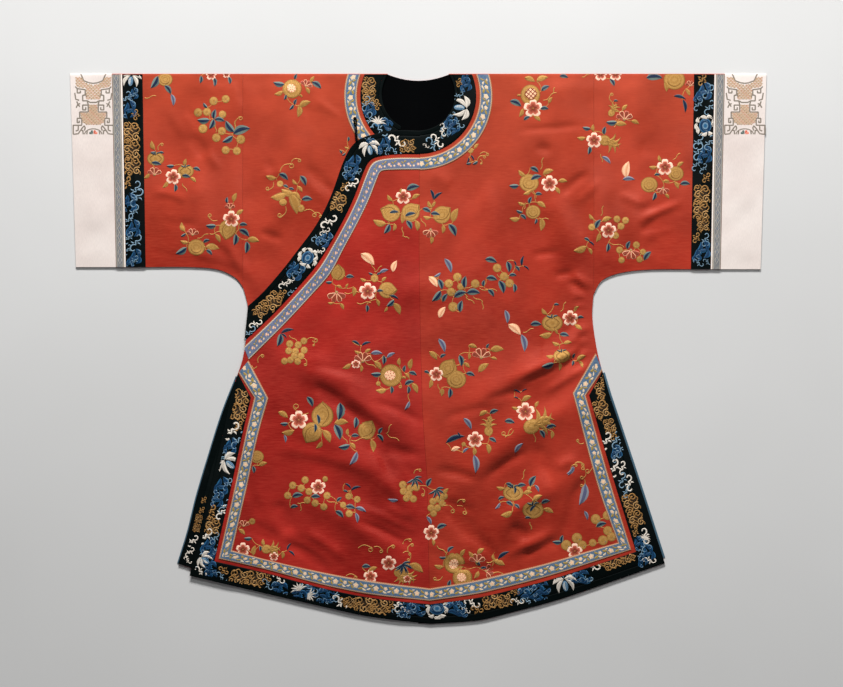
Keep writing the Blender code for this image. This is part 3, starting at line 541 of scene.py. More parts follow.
def garment_top(across, drop):
    """Outer face of the cloth that shows from above."""
    flap = through(FLAP, CELL)[::-1]
    below_flap = drop > np.interp(across, flap[:, 0], flap[:, 1])
    overlap = below_flap & (across < np.interp(drop, *np.array(SEAM)[:, ::-1].T))
    return front_height(across, drop) + WALL + np.where(overlap, OVERLAP(across, drop), 0.0)


# Colours

def srgb(red, green, blue):
    """Linear colour of a colour given as 0 to 255."""
    parts = []
    for value in (red, green, blue):
        share = value / 255.0
        parts.append(share / 12.92 if share <= 0.04045 else ((share + 0.055) / 1.055) ** 2.4)
    return (*parts, 1.0)


# Mesh building

def mesh_object(name, points, faces, material, smooth=True):
    mesh = bpy.data.meshes.new(name)
    mesh.from_pydata([tuple(p) for p in points], [], [tuple(f) for f in faces])
    if smooth:
        mesh.shade_smooth()
        mesh.set_sharp_from_angle(angle=SHARP)
    mesh.materials.append(material)
    piece = bpy.data.objects.new(name, mesh)
    bpy.context.scene.collection.objects.link(piece)
    return piece


def grid_faces(rows, columns, first=0, turned=False):
    """Quads of a grid of points that are numbered row by row."""
    j, i = np.meshgrid(np.arange(rows - 1), np.arange(columns - 1), indexing="ij")
    a = first + j * columns + i
    quads = np.stack([a, a + columns, a + columns + 1, a + 1], axis=-1).reshape(-1, 4)
    return quads[:, ::-1] if turned else quads


def rim_faces(rows, columns):
    """Quads that close the edge between an outer and an inner grid."""
    inner = rows * columns
    top = np.arange(columns)
    right = np.arange(rows) * columns + columns - 1
    bottom = (rows - 1) * columns + np.arange(columns)[::-1]
    left = np.arange(rows)[::-1] * columns
    loop = np.concatenate([top[:-1], right[:-1], bottom[:-1], left[:-1]])
    after = np.roll(loop, -1)
    return np.stack([loop, after, after + inner, loop + inner], axis=-1)


def grid_area(grid):
    """Area of a grid of pattern points, in square metres."""
    a, b = grid[1:, 1:] - grid[:-1, :-1], grid[1:, :-1] - grid[:-1, 1:]
    return float(np.abs(a[..., 0] * b[..., 1] - a[..., 1] * b[..., 0]).sum() / 2) * MM * MM


def closed_cloth(name, outer, inner, material, lining=None):
    """A closed wall of cloth between an outer and an inner grid of points."""
    rows, columns = outer.shape[:2]
    points = np.concatenate([outer.reshape(-1, 3), inner.reshape(-1, 3)]) * MM
    faces = np.concatenate([
        grid_faces(rows, columns),
        grid_faces(rows, columns, rows * columns, turned=True),
        rim_faces(rows, columns)[:, ::-1],
    ])
    piece = mesh_object(name, points, faces, material)
    # On the body halves the second material, on the inner face, is near-black painted shade: the shadow
    # inside the robe seen through the neck opening
    if lining is not None:
        piece.data.materials.append(lining)
        inner_face = np.zeros(len(faces), dtype=np.int32)
        quads = (rows - 1) * (columns - 1)
        inner_face[quads:2 * quads] = 1
        piece.data.polygons.foreach_set("material_index", inner_face)
    facing = np.cross(outer[1, 0] - outer[0, 0], outer[0, 1] - outer[0, 0])
    if facing[2] < 0:
        piece.data.flip_normals()
    return piece


def add_uv(piece, along, across):
    """Strip coordinates, the same on the upper and the under side."""
    u, v = np.meshgrid(along, across, indexing="ij")
    flat = pairs(u.ravel(), v.ravel())
    both = np.concatenate([flat, flat])
    loops = np.zeros(len(piece.data.loops), dtype=np.int32)
    piece.data.loops.foreach_get("vertex_index", loops)
    layer = piece.data.uv_layers.new(name="strip")
    layer.uv.foreach_set("vector", both[loops].astype(np.float32).ravel())


def stand_for(piece, node, look):
    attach(piece, "root")
    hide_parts(node)


def dress(piece, node, look, with_pieces=()):
    stand_for(piece, node, look)
    list(with_pieces)


def laid_points(grid, height, offset):
    """Points of a pattern grid, the given distance above its underside."""
    across, drop = grid[..., 0], grid[..., 1]
    z = height(across, drop) + offset
    return np.stack([across, FOLD_Y - drop, z], axis=-1)


def laid_fold(across, outer):
    """Rows of points round the shoulder fold, from front to back."""
    radius = GAP / 2 + (WALL if outer else 0.0)
    rows = []
    for k in range(1, FOLD_STEPS):
        turn = math.pi * (1 - k / FOLD_STEPS)
        y = FOLD_Y - FOLD_HALF + radius * math.sin(turn)
        z = WALL + GAP / 2 - radius * math.cos(turn)
        rows.append(np.stack([across, np.full(across.shape, y), np.full(across.shape, z)], axis=-1))
    return np.array(rows)


def folded_cloth(name, front, back, materials, look, with_pieces=(), lining=None):
    """A piece that is folded over the shoulder: front grid, fold and back grid."""
    walls = []
    for outer in (True, False):
        # The outer face is above on the front and below on the back
        walls.append(np.concatenate([
            laid_points(front[::-1], front_height, WALL if outer else 0.0),
            laid_fold(front[0, :, 0], outer),
            laid_points(back, on_floor, 0.0 if outer else WALL),
        ]))
    piece = closed_cloth(name, *walls, materials[look], lining)
    width = np.ptp(front[..., 0]) * MM
    area = grid_area(front) + grid_area(back)
    dress(piece, name.removeprefix("silk_"), look, with_pieces)


# Cloth panels

def ring_points(radius, centre, first):
    """Arc of the neck on the wearer's left, from a first turn to the fold."""
    last = math.pi / 2 + math.asin((centre - FOLD_HALF) / radius)
    turns = np.linspace(first, last, NECK_STEPS + 1)
    return pairs(radius * np.sin(turns), centre + radius * np.cos(turns))


def neck_hole(across):
    """Edge of the cloth round the neck, just inside the binding that covers it."""
    radius = NECK_HOLE_RADIUS + NECK_TUCK
    first = math.asin(across / radius)
    return ring_points(radius, NECK_HOLE_DROP, first)[::-1]


def back_scoop():
    half = neck_hole(0.0)[0][0]
    across = np.linspace(half, 0.0, SCOOP_POINTS)
    return pairs(across, FOLD_HALF + NECK_SCOOP * (1 - (across / half) ** 2))


def body_grids(inner, hem_front, hem_back, outer):
    """Front and back grids of a body half, as if on the wearer's left."""
    scoop = back_scoop()
    columns = round(SLEEVE_SEAM / CELL)
    rows = round(HEM_DROP / CELL)
    top = resample([inner[0][0], outer[0][0]], columns)
    front = coons(top, resample(hem_front, columns), stretches(inner, rows),
                  stretches(outer, rows))
    rows = rows // 2
    centre = [scoop, [tuple(scoop[-1]), tuple(hem_back[0])]]
    back = coons(top, resample(hem_back, columns), stretches(centre, rows),
                 stretches(outer, rows))
    return front, back


def outer_edge(side, slit):
    """Outer edge of a body half from the shoulder down: sleeve seam, side and slit."""
    across = SLEEVE_SEAM - GAP / 2
    armhole = [(across, FOLD_HALF), (across, SIDE[side][0][1])]
    return [armhole, np.concatenate([armhole[1:], side_points(side)[1:]]), slit]


def add_body_left(materials):
    seam = [(x + GAP / 2, d) for x, d in SEAM]
    hole = neck_hole(seam[0][0])
    slit_and_hem = border_rows("left", HEM_STEP)[::-1][:, :2]
    corner = int(np.argmax(slit_and_hem[:, 0]))
    outer = outer_edge("left", slit_and_hem[:corner + 1])
    hem = slit_and_hem[corner:][::-1]
    hem_front = np.concatenate([[seam[-1]], hem[1:]])
    hem_back = np.concatenate([[(0.0, HEM_DROP - BACK_HEM_RISE)], hem[1:]])
    inner = [hole, np.concatenate([hole[-1:], seam[1:]])]
    front, back = body_grids(inner, hem_front, hem_back, outer)
    # The inner faces are near-black painted shade, seen through the neck opening
    folded_cloth("silk_body_left", front, back, materials, "satin", lining=materials["neck"])


def add_body_right(materials):
    edge = UNDER_TUCK - UNDER_EDGE
    hole = neck_hole(edge)
    outer = outer_edge("right", through(UNDERLAP_SLIT))
    hem = through(UNDERLAP_HEM, HEM_STEP)[::-1]
    under = (edge, UNDER_EDGE_LOW)
    hem_front = np.concatenate([[under], hem[hem[:, 0] > edge + HEM_CLEAR]])
    hem_back = np.concatenate([[(0.0, hem[0][1])], hem[1:]])
    inner = [hole, [tuple(hole[-1]), under]]
    front, back = body_grids(inner, hem_front, hem_back, outer)
    # The inner faces are near-black painted shade, seen through the neck opening
    folded_cloth("silk_body_right", front * (-1, 1), back * (-1, 1), materials, "satin",
                 lining=materials["neck"])


def add_front_overlap(materials):
    seam = [(x - GAP / 2, d) for x, d in SEAM]
    seam[0] = (seam[0][0], FLAP[0].edge_drop)
    flap = through(FLAP, CELL)[:, :2][::-1]
    flap = flap[flap[:, 1] < OVERLAP_CORNER[1] - CORNER_CLEAR]
    flap = np.concatenate([[OVERLAP_CORNER], flap])
    flap[-1] = seam[0]
    side = flipped(side_points("right"))
    side = np.concatenate([[OVERLAP_CORNER], side[side[:, 1] > OVERLAP_CORNER[1] + GAP]])
    border = border_rows("right", HEM_STEP)[:, :2]
    corner = int(np.argmin(border[:, 0]))
    columns = round(OVERLAP_WIDTH / CELL)
    rows = round(OVERLAP_LENGTH / CELL)
    hem = border[corner:].copy()
    hem[-1] = seam[-1]
    grid = coons(resample(flap, columns), resample(hem, columns),
                 stretches([side, border[:corner + 1]], rows), resample(seam, rows))
    outer = laid_points(grid, over_height, WALL)
    inner = laid_points(grid, over_height, 0.0)
    piece = closed_cloth("silk_front_overlap", outer, inner, materials["overlap"])
    flat = (np.ptp(grid[..., 0]) * MM, np.ptp(grid[..., 1]) * MM)
    dress(piece, "front_overlap", "overlap")


def sleeve_grids(side, inner, outer):
    """Front and back grids of a part of the sleeve between two slanting lines."""
    bottom = CUFF_DROP[side]
    curve = through(SLEEVE_BOTTOM[side], CELL)
    start = (sleeve_line(*inner, bottom), bottom)
    end = (sleeve_line(*outer, bottom), bottom)
    if inner[0] < SLEEVE_SEAM + GAP:
        start = (inner[0], curve[0][1])
        lower = np.concatenate([[start], curve[1:], [end]])
    else:
        lower = np.array([start, end])
    columns = max(LEAST_COLUMNS, round((outer[0] - inner[0]) / CELL))
    grids = []
    for rows in (round(bottom / CELL), round(bottom / CELL / 2)):
        left = resample([(inner[0], FOLD_HALF), start], rows)
        right = resample([(outer[0], FOLD_HALF), end], rows)
        top = resample([left[0], right[0]], columns)
        grids.append(coons(top, resample(lower, columns), left, right))
    return grids


def add_sleeves(materials):
    for side, sign in (("left", 1), ("right", -1)):
        body_end = (SLEEVE_SEAM + GAP / 2,) * 2
        sleeve_end = (CUFF_SEAM[0] - GAP / 2, CUFF_SEAM[1] - GAP / 2)
        cuff_start = (CUFF_SEAM[0] + GAP / 2, CUFF_SEAM[1] + GAP / 2)
        parts = [("silk_sleeve_", "satin", body_end, sleeve_end, ["silk_sleeve_piping_" + side]),
                 ("silk_cuff_", "cuff", cuff_start, CUFF_EDGE, [])]
        for name, look, inner, outer, trim in parts:
            front, back = sleeve_grids(side, inner, outer)
            folded_cloth(name + side, front * (sign, 1), back * (sign, 1), materials, look, trim)


# Strips

# Share of the way across a strip, and height there as a share of its thickness
STRIP_PROFILE = [(0.0, 0.3), (0.03, 0.75), (0.1, 1.0), (0.3, 1.0), (0.5, 1.0), (0.7, 1.0),
                 (0.9, 1.0), (0.97, 0.75), (1.0, 0.3)]
laid_strips = {}            # near and far edge of each strip, for what is worked on it


def add_strip(name, near, far, height, materials, look, rests_on):
    """A narrow piece of cloth between two lines, with softly rounded edges."""
    laid_strips[name] = (near, far)
    shares, rise = np.array(STRIP_PROFILE).T
    rise = rise * TRIM
    grid = near[:, None] * (1 - shares[None, :, None]) + far[:, None] * shares[None, :, None]
    outer = laid_points(grid, height, rise[None, :])
    inner = laid_points(grid, height, 0.0)
    piece = closed_cloth("silk_" + name, outer, inner, materials[look])
    middle = (near + far) / 2
    along = lengths_along(middle)
    add_uv(piece, along / STRIP_UV, shares)
    length = along[-1] * MM
    area = grid_area(grid)
    if area / length < CORD_WIDTH:
        stand_for(piece, name, look)
    else:
        dress(piece, name, look)


def between(rows, share):
    """Points at a share of the way across the rows; above 1 on to the ribbon."""
    if rows.shape[1] == 6 and share > 1.0:
        return rows[:, 2:4] + (rows[:, 4:6] - rows[:, 2:4]) * (share - 1.0)
    return rows[:, 0:2] + (rows[:, 2:4] - rows[:, 0:2]) * share


def clip_line(line, place, normal):
    """The part of a line on the kept side of a cut, ending exactly on it."""
    side = (line - place) @ np.array(normal)
    kept = []
    for k in range(len(line)):
        if k and (side[k] > 0) != (side[k - 1] > 0):
            t = side[k - 1] / (side[k - 1] - side[k])
            kept.append(line[k - 1] + t * (line[k] - line[k - 1]))
        if side[k] <= 0:
            kept.append(line[k])
    return np.array(kept)


def add_neck_trim(materials):
    rings = [("neck_binding", "binding", NECK_HOLE_RADIUS, NECK_BINDING_OUT - BINDING_GAP),
             ("neck_band", "black", NECK_BINDING_OUT, NECK_BAND_OUT),
             ("neck_ribbon", "ribbon", NECK_RIBBON_IN, NECK_RIBBON_OUT)]
    flap = through(FLAP, CELL)[:, :2]
    for side, sign in (("left", 1), ("right", -1)):
        for name, look, inner, outer in rings:
            centre = NECK_HOLE_DROP if name == "neck_binding" else NECK_RING_DROP
            arcs = []
            for radius, middle in ((inner, centre), (outer, NECK_RING_DROP)):
                first = math.asin(SEAM[0][0] / radius)
                if side == "right":
                    first = ring_start(radius, middle, flap)
                arcs.append(ring_points(radius, middle, first))
            if side == "right" and name == "neck_binding":
                arcs[1] = np.concatenate([[under_corner(flap)], arcs[1]])
            lines = [resample(arc, NECK_TRIM_STEPS) * (sign, 1) for arc in arcs]
            add_strip(name + "_" + side, *lines, on_front, materials, look, "silk_body_" + side)


def under_corner(flap):
    """Where the underlap's edge goes under the flap, mirrored to the ring's side."""
    edge = flap[::-1]
    drop = np.interp(UNDER_EDGE - GAP, edge[:, 0], edge[:, 1]) - 3 * GAP
    return (GAP - UNDER_EDGE, drop)


def ring_start(radius, middle, flap):
    """Turn at which the ring of this radius comes out from under the flap."""
    edge = flap[::-1]
    for turn in np.linspace(0.0, math.pi / 2, TURNS_TRIED):
        across, drop = -radius * math.sin(turn), middle + radius * math.cos(turn)
        clear = drop < np.interp(across, edge[:, 0], edge[:, 1]) - 3 * GAP
        if clear and across < UNDER_EDGE - GAP:
            return float(turn)
    return 0.0


def add_flap_trim(materials):
    rows = through(FLAP, STRIP_STEP)
    seam = np.array((SEAM[0][0], 0.0))
    (x0, d0), (x1, d1) = FLAP_END
    parts = [("flap_binding", "binding", 0.0, FLAP_BINDING_SHARE - SHARE_GAP),
             ("flap_band", "black", FLAP_BINDING_SHARE + SHARE_GAP, FLAP_BAND_SHARE),
             ("flap_ribbon", "flap_ribbon", FLAP_RIBBON_SHARE, 1.0)]
    for name, look, near, far in parts:
        lines = []
        for share in (near, far):
            line = between(rows, share)
            line = clip_line(line, np.array((x0, d0)), (d0 - d1, x1 - x0))
            line = clip_line(line, seam, (1.0, 0.0))
            lines.append(line)
        count = round(lengths_along(lines[0])[-1] / STRIP_STEP)
        lines = [resample(line, count) for line in lines]
        add_strip(name, *lines, on_overlap, materials, look, "silk_front_overlap")


def add_skirt_trim(materials):
    parts = [("skirt_binding_", "binding", 0.0, BINDING_SHARE - SHARE_GAP),
             ("skirt_band_", "black", BINDING_SHARE + SHARE_GAP, BAND_SHARE),
             ("skirt_ribbon_", "ribbon", 1.0, 2.0)]
    sides = [("left", on_front, "silk_body_left", 0), ("right", on_overlap, "silk_front_overlap", -1)]
    for side, height, carrier, at_seam in sides:
        rows = border_rows(side)
        for name, look, near, far in parts:
            lines = [between(rows, near).copy(), between(rows, far).copy()]
            for line in lines:
                line[at_seam][0] = SEAM[-1][0]
            add_strip(name + side, *lines, height, materials, look, carrier)


def add_underlap_trim(materials):
    edge = underlap_slit(STRIP_STEP)
    parts = [("underlap_binding", "binding", 0.0, UNDERLAP_BINDING - BINDING_GAP),
             ("underlap_band", "black", UNDERLAP_BINDING, UNDERLAP_BAND)]
    for name, look, near, far in parts:
        top = np.array((0.0, edge[0][1] + far * UNDERLAP_TOP_SLANT))
        lines = [clip_line(beside(edge, offset), top, (0.0, -1.0)) for offset in (near, far)]
        count = round(lengths_along(lines[0])[-1] / STRIP_STEP)
        lines = [resample(line, count) for line in lines]
        add_strip(name, *lines, on_front, materials, look, "silk_body_right")


def add_sleeve_trim(materials):
    for side, sign in (("left", 1), ("right", -1)):
        drops = np.linspace(FOLD_HALF, CUFF_DROP[side], SLEEVE_TRIM_POINTS)
        for name, look, *edges in SLEEVE_TRIM:
            lines = [pairs(sign * sleeve_line(*edge, drops), drops) for edge in edges]
            add_strip(name + side, *lines, on_front, materials, look, "silk_sleeve_" + side)


def add_lining_edges(materials):
    slit = border_rows("left", HEM_STEP)[::-1][:, :2]
    slit = slit[:int(np.argmax(slit[:, 0]))]
    for side, line, outward in (("left", slit, 1), ("right", underlap_slit(HEM_STEP), -1)):
        near = beside(line, outward * GAP)
        far = beside(line, outward * LINING_SHOWS[side])
        add_strip("lining_edge_" + side, near, far, on_floor, materials, "lining", "floor")


# Materials

class Nodes:
    """Short names for building one material."""

    def __init__(self, name):
        self.material = bpy.data.materials.new(name)
        self.material.use_nodes = True
        self.tree = self.material.node_tree
        self.shader = self.tree.nodes["Principled BSDF"]

    def add(self, kind, **settings):
        node = self.tree.nodes.new(kind)
        for key, value in settings.items():
            setattr(node, key, value)
        return node

    def link(self, source, target):
        self.tree.links.new(source, target)

    def set(self, **values):
        for key, value in values.items():
            self.shader.inputs[key.replace("_", " ")].default_value = value

    def place(self, scale):
        """Object coordinates in metres, scaled."""
        coordinates = self.add("ShaderNodeTexCoord")
        mapping = self.add("ShaderNodeMapping")
        mapping.inputs["Scale"].default_value = scale
        self.link(coordinates.outputs["Object"], mapping.inputs["Vector"])
        return mapping.outputs["Vector"]

    def uv(self, layer):
        node = self.add("ShaderNodeUVMap", uv_map=layer)
        split = self.add("ShaderNodeSeparateXYZ")
        self.link(node.outputs["UV"], split.inputs["Vector"])
        return split.outputs["X"], split.outputs["Y"]

    def noise(self, scale, detail):
        """Noise of this many grains a metre, the same or different along X, Y and Z."""
        node = self.add("ShaderNodeTexNoise")
        node.inputs["Scale"].default_value = 1.0
        node.inputs["Detail"].default_value = detail
        place = self.place(scale if isinstance(scale, tuple) else (scale,) * 3)
        self.link(place, node.inputs["Vector"])
        return node.outputs["Fac"]

    def ramp(self, source, *stops):
        node = self.add("ShaderNodeValToRGB")
        ramp = node.color_ramp
        while len(ramp.elements) < len(stops):
            ramp.elements.new(0.5)
        for element, (place, colour) in zip(ramp.elements, stops):
            element.position = place
            element.color = colour
        self.link(source, node.inputs["Fac"])
        return node.outputs["Color"]

    def mix(self, share, a, b, kind="MIX"):
        node = self.add("ShaderNodeMix", data_type="RGBA", blend_type=kind)
        for socket, value in (("Factor", share), ("A", a), ("B", b)):
            slots = [s for s in node.inputs if s.name == socket and s.enabled]
            if hasattr(value, "is_output"):
                self.link(value, slots[0])
            else:
                slots[0].default_value = value
        return [s for s in node.outputs if s.enabled][0]

    def math(self, kind, a, b=0.0):
        node = self.add("ShaderNodeMath", operation=kind)
        for socket, value in zip(node.inputs, (a, b)):
            if hasattr(value, "is_output"):
                self.link(value, socket)
            else:
                socket.default_value = value
        return node.outputs[0]

    def bump(self, height, strength, distance):
        node = self.add("ShaderNodeBump")
        node.inputs["Strength"].default_value = strength
        node.inputs["Distance"].default_value = distance
        self.link(height, node.inputs["Height"])
        self.link(node.outputs["Normal"], self.shader.inputs["Normal"])


OFF, ON = (0.0, 0.0, 0.0, 1.0), (1.0, 1.0, 1.0, 1.0)
# Tints of the gloss
RED_GLOSS = (1.0, 0.42, 0.32, 1.0)
GOLD_GLOSS = (1.0, 0.8, 0.5, 1.0)
PLAIN_GLOSS = (1.0, 1.0, 1.0, 1.0)
# The red turns paler and more orange towards the shoulders, from one place along Y to the other, in metres,
# which noise moves about
SHOULDER_TONE_FROM, SHOULDER_TONE_TO = 0.32, 0.68
SHOULDER_TONE_WAVER = 0.3
SHOULDER_TONE_SHARE = 0.55
SLUB_ROUGHNESS = 0.16       # slubs change a satin's roughness by up to half of this either way
# Pitches in millimetres
PICOT = 4.2                 # loops along a ribbon's edges
RIB = 0.7                   # ribs across a ribbon
STRAND = 0.6                # strands of an embroidery thread


def satin(name, deep, warm, light, roughness, gloss, tint, shoulder_colour=None):
    """Lustrous silk satin: floating threads, slight slubs and uneven colour."""
    n = Nodes(name)
    broad = n.noise(5.0, 2.0)
    base = n.ramp(broad, (0.3, deep), (0.72, warm))
    slubs = n.noise((60.0, 900.0, 200.0), 2.0)
    streaks = n.ramp(slubs, (0.35, OFF), (0.75, ON))
    share = n.math("MULTIPLY", streaks, 0.35)
    colour = n.mix(share, base, light)
    # The red turns paler and more orange towards the shoulders
    if shoulder_colour is not None:
        split = n.add("ShaderNodeSeparateXYZ")
        n.link(n.place((1.0, 1.0, 1.0)), split.inputs["Vector"])
        height = n.math("MULTIPLY_ADD", n.noise(3.0, 2.0), SHOULDER_TONE_WAVER)
        n.link(split.outputs["Y"], height.node.inputs[2])
        top = n.ramp(height, (SHOULDER_TONE_FROM, OFF), (SHOULDER_TONE_TO, ON))
        colour = n.mix(n.math("MULTIPLY", top, SHOULDER_TONE_SHARE), colour, shoulder_colour)
    worn = n.noise(14.0, 4.0)
    worn = n.ramp(worn, (0.35, (0.86, 0.84, 0.84, 1.0)), (0.65, (1.08, 1.06, 1.04, 1.0)))
    colour = n.mix(1.0, colour, worn, "MULTIPLY")
    n.link(colour, n.shader.inputs["Base Color"])
    rough = n.math("MULTIPLY_ADD", slubs, SLUB_ROUGHNESS)
    rough.node.inputs[2].default_value = roughness - SLUB_ROUGHNESS / 2
    n.link(rough, n.shader.inputs["Roughness"])
    weave = n.noise((500.0, 2600.0, 500.0), 1.0)
    both = n.math("ADD", weave, n.math("MULTIPLY", slubs, 0.8))
    n.bump(both, 0.25, 0.0004)
    n.set(Specular_IOR_Level=gloss, Specular_Tint=tint, Anisotropic=0.5)
    return n.material


def ribbon(name, ground, edge, picot, line):
    """Woven ribbon: figured ground, plain side lines and a looped edge."""
    n = Nodes(name)
    along, across = n.uv("strip")
    from_middle = n.math("ABSOLUTE", n.math("SUBTRACT", across, 0.5))
    loops = n.math("SINE", n.math("MULTIPLY", along, 2 * math.pi * STRIP_UV / PICOT))
    scallop = n.math("ADD", from_middle, n.math("MULTIPLY", loops, 0.018))
    grounds = n.noise(180.0, 2.0)
    cloth = n.ramp(grounds, (0.35, ground[0]), (0.65, ground[1]))
    bands = n.ramp(scallop, (0.0, OFF), (0.385, OFF), (0.4, ON))
    colour = n.mix(bands, cloth, edge)
    rim = n.ramp(scallop, (0.0, OFF), (0.44, OFF), (0.455, ON))
    colour = n.mix(rim, colour, picot)
    lines = n.ramp(n.math("ABSOLUTE", n.math("SUBTRACT", from_middle, 0.372)),
                   (0.0, ON), (0.01, ON), (0.016, OFF))
    colour = n.mix(lines, colour, line)
    n.link(colour, n.shader.inputs["Base Color"])
    ribs = n.math("SINE", n.math("MULTIPLY", along, 2 * math.pi * STRIP_UV / RIB))
    n.bump(ribs, 0.3, 0.0002)
    n.set(Roughness=0.6, Specular_IOR_Level=0.2)
    return n.material


def plain_silk(name, dark, pale, roughness):
    n = Nodes(name)
    broad = n.noise(9.0, 3.0)
    base = n.ramp(broad, (0.3, dark), (0.7, pale))
    threads = n.noise((1100.0, 160.0, 300.0), 2.0)
    fine = n.ramp(threads, (0.3, (0.93, 0.93, 0.93, 1.0)), (0.7, (1.04, 1.04, 1.04, 1.0)))
    n.link(n.mix(1.0, base, fine, "MULTIPLY"), n.shader.inputs["Base Color"])
    n.bump(threads, 0.3, 0.0003)
    n.set(Roughness=roughness, Specular_IOR_Level=0.3)
    return n.material


def thread(name, metallic, roughness, speckle, gloss):
    """Embroidery thread in the colours of the stitches, with laid strands."""
    n = Nodes(name)
    colour = n.add("ShaderNodeVertexColor", layer_name="thread").outputs["Color"]
    grains = n.noise(700.0, 2.0)
    low, high = 1.0 - speckle, 1.0 + speckle
    tint = n.ramp(grains, (0.3, (low, low, low, 1.0)), (0.7, (high, high, high, 1.0)))
    n.link(n.mix(1.0, colour, tint, "MULTIPLY"), n.shader.inputs["Base Color"])
    _, across = n.uv("stitch")
    strands = n.math("SINE", n.math("MULTIPLY", across, 2 * math.pi * STITCH_UV / STRAND))
    n.bump(n.math("ADD", strands, n.math("MULTIPLY", grains, 2.0)), 0.35, 0.00015)
    n.set(Metallic=metallic, Roughness=roughness, Specular_IOR_Level=0.2, Specular_Tint=gloss)
    return n.material


def make_materials():
    shoulder_colour = srgb(166, 72, 46)
    blue = (srgb(68, 94, 124), srgb(92, 112, 132))
    periwinkle = (srgb(92, 102, 130), srgb(106, 114, 136))
    grey_blue = (srgb(108, 109, 112), srgb(126, 124, 120))
    return {
        "satin": satin("red_satin", srgb(132, 30, 20), srgb(164, 50, 36), srgb(190, 74, 52),
                       0.43, 0.28, RED_GLOSS, shoulder_colour),
        "overlap": satin("crimson_satin", srgb(130, 22, 19), srgb(164, 40, 34),
                         srgb(188, 64, 50), 0.43, 0.28, RED_GLOSS, shoulder_colour),
        # Painted shade: near-black silk for the inner faces of the body halves, standing for the shadow
        # inside the neck opening
        "neck": satin("dark_silk", srgb(1, 1, 2), srgb(2, 3, 3), srgb(4, 5, 6), 0.7, 0.02,
                      PLAIN_GLOSS),
        "black": satin("black_satin", srgb(2, 7, 7), srgb(5, 11, 11), srgb(11, 19, 18),
                       0.55, 0.05, PLAIN_GLOSS),
        "binding": satin("black_binding", srgb(2, 6, 6), srgb(4, 10, 10), srgb(11, 18, 18),
                         0.6, 0.04, PLAIN_GLOSS),
        "ribbon": ribbon("blue_ribbon", blue, srgb(190, 156, 126),
                         srgb(158, 100, 66), srgb(120, 112, 104)),
        "flap_ribbon": ribbon("flap_ribbon", periwinkle, srgb(192, 182, 166),
                              srgb(150, 100, 58), srgb(112, 112, 120)),
        "sleeve_ribbon": ribbon("sleeve_ribbon", grey_blue, srgb(158, 150, 140),
                                srgb(136, 128, 114), srgb(172, 164, 152)),
        "cuff": plain_silk("cream_silk", srgb(206, 192, 185), srgb(220, 209, 202), 0.5),
        "piping": plain_silk("white_piping", srgb(216, 206, 196), srgb(234, 224, 214), 0.55),
        "lining": plain_silk("blue_lining", srgb(50, 80, 96), srgb(68, 98, 114), 0.5),
        "thread": thread("silk_thread", 0.0, 0.5, 0.1, PLAIN_GLOSS),
        "gold": thread("gold_thread", 0.2, 0.5, 0.24, GOLD_GLOSS),
    }


# Embroidery

TEAL, NAVY, PALE = (86, 100, 94), (10, 30, 58), (104, 118, 110)
VIOLET, MIST = (78, 80, 106), (124, 128, 136)
GOLD, GOLD_DARK, GOLD_PALE = (160, 116, 58), (118, 80, 38), (176, 132, 72)
PEACH, PEACH_DARK = (240, 188, 148), (204, 138, 98)
CREAM, SALMON, TAN = (238, 198, 172), (214, 124, 102), (132, 56, 36)
ROSE = (192, 94, 72)
LEAF_COLOURS = {
    # from one edge of the leaf across to the other
    "blue": (TEAL, TEAL, NAVY, NAVY, PALE, PALE),
    "gold": (GOLD_DARK, GOLD_PALE, GOLD, GOLD, GOLD_PALE, GOLD_DARK),
    "peach": (PEACH_DARK, PEACH, PEACH, PEACH_DARK, PEACH, PEACH),
    "violet": (MIST, MIST, VIOLET, VIOLET, MIST, MIST),
    "navy": (TEAL, NAVY, NAVY, NAVY, NAVY, TEAL),
}
LEAF_SHARES = {"blue": 0.5, "gold": 0.55, "peach": 0.48, "violet": 0.36, "navy": 0.28}
LEAF_ROWS = 7
LEAF_COLUMNS = (-1.0, -0.5, -0.38, 0.34, 0.46, 1.0)
THREAD_RISE = 0.55          # height of padded stitches above the cloth
LINE_RISE = 0.6
STEM = 2.0                  # width of twigs and tendrils
SUNK = 0.12                 # edges of stitches go this far into the cloth


def colour_of(triplet):
    return srgb(*triplet)[:3]


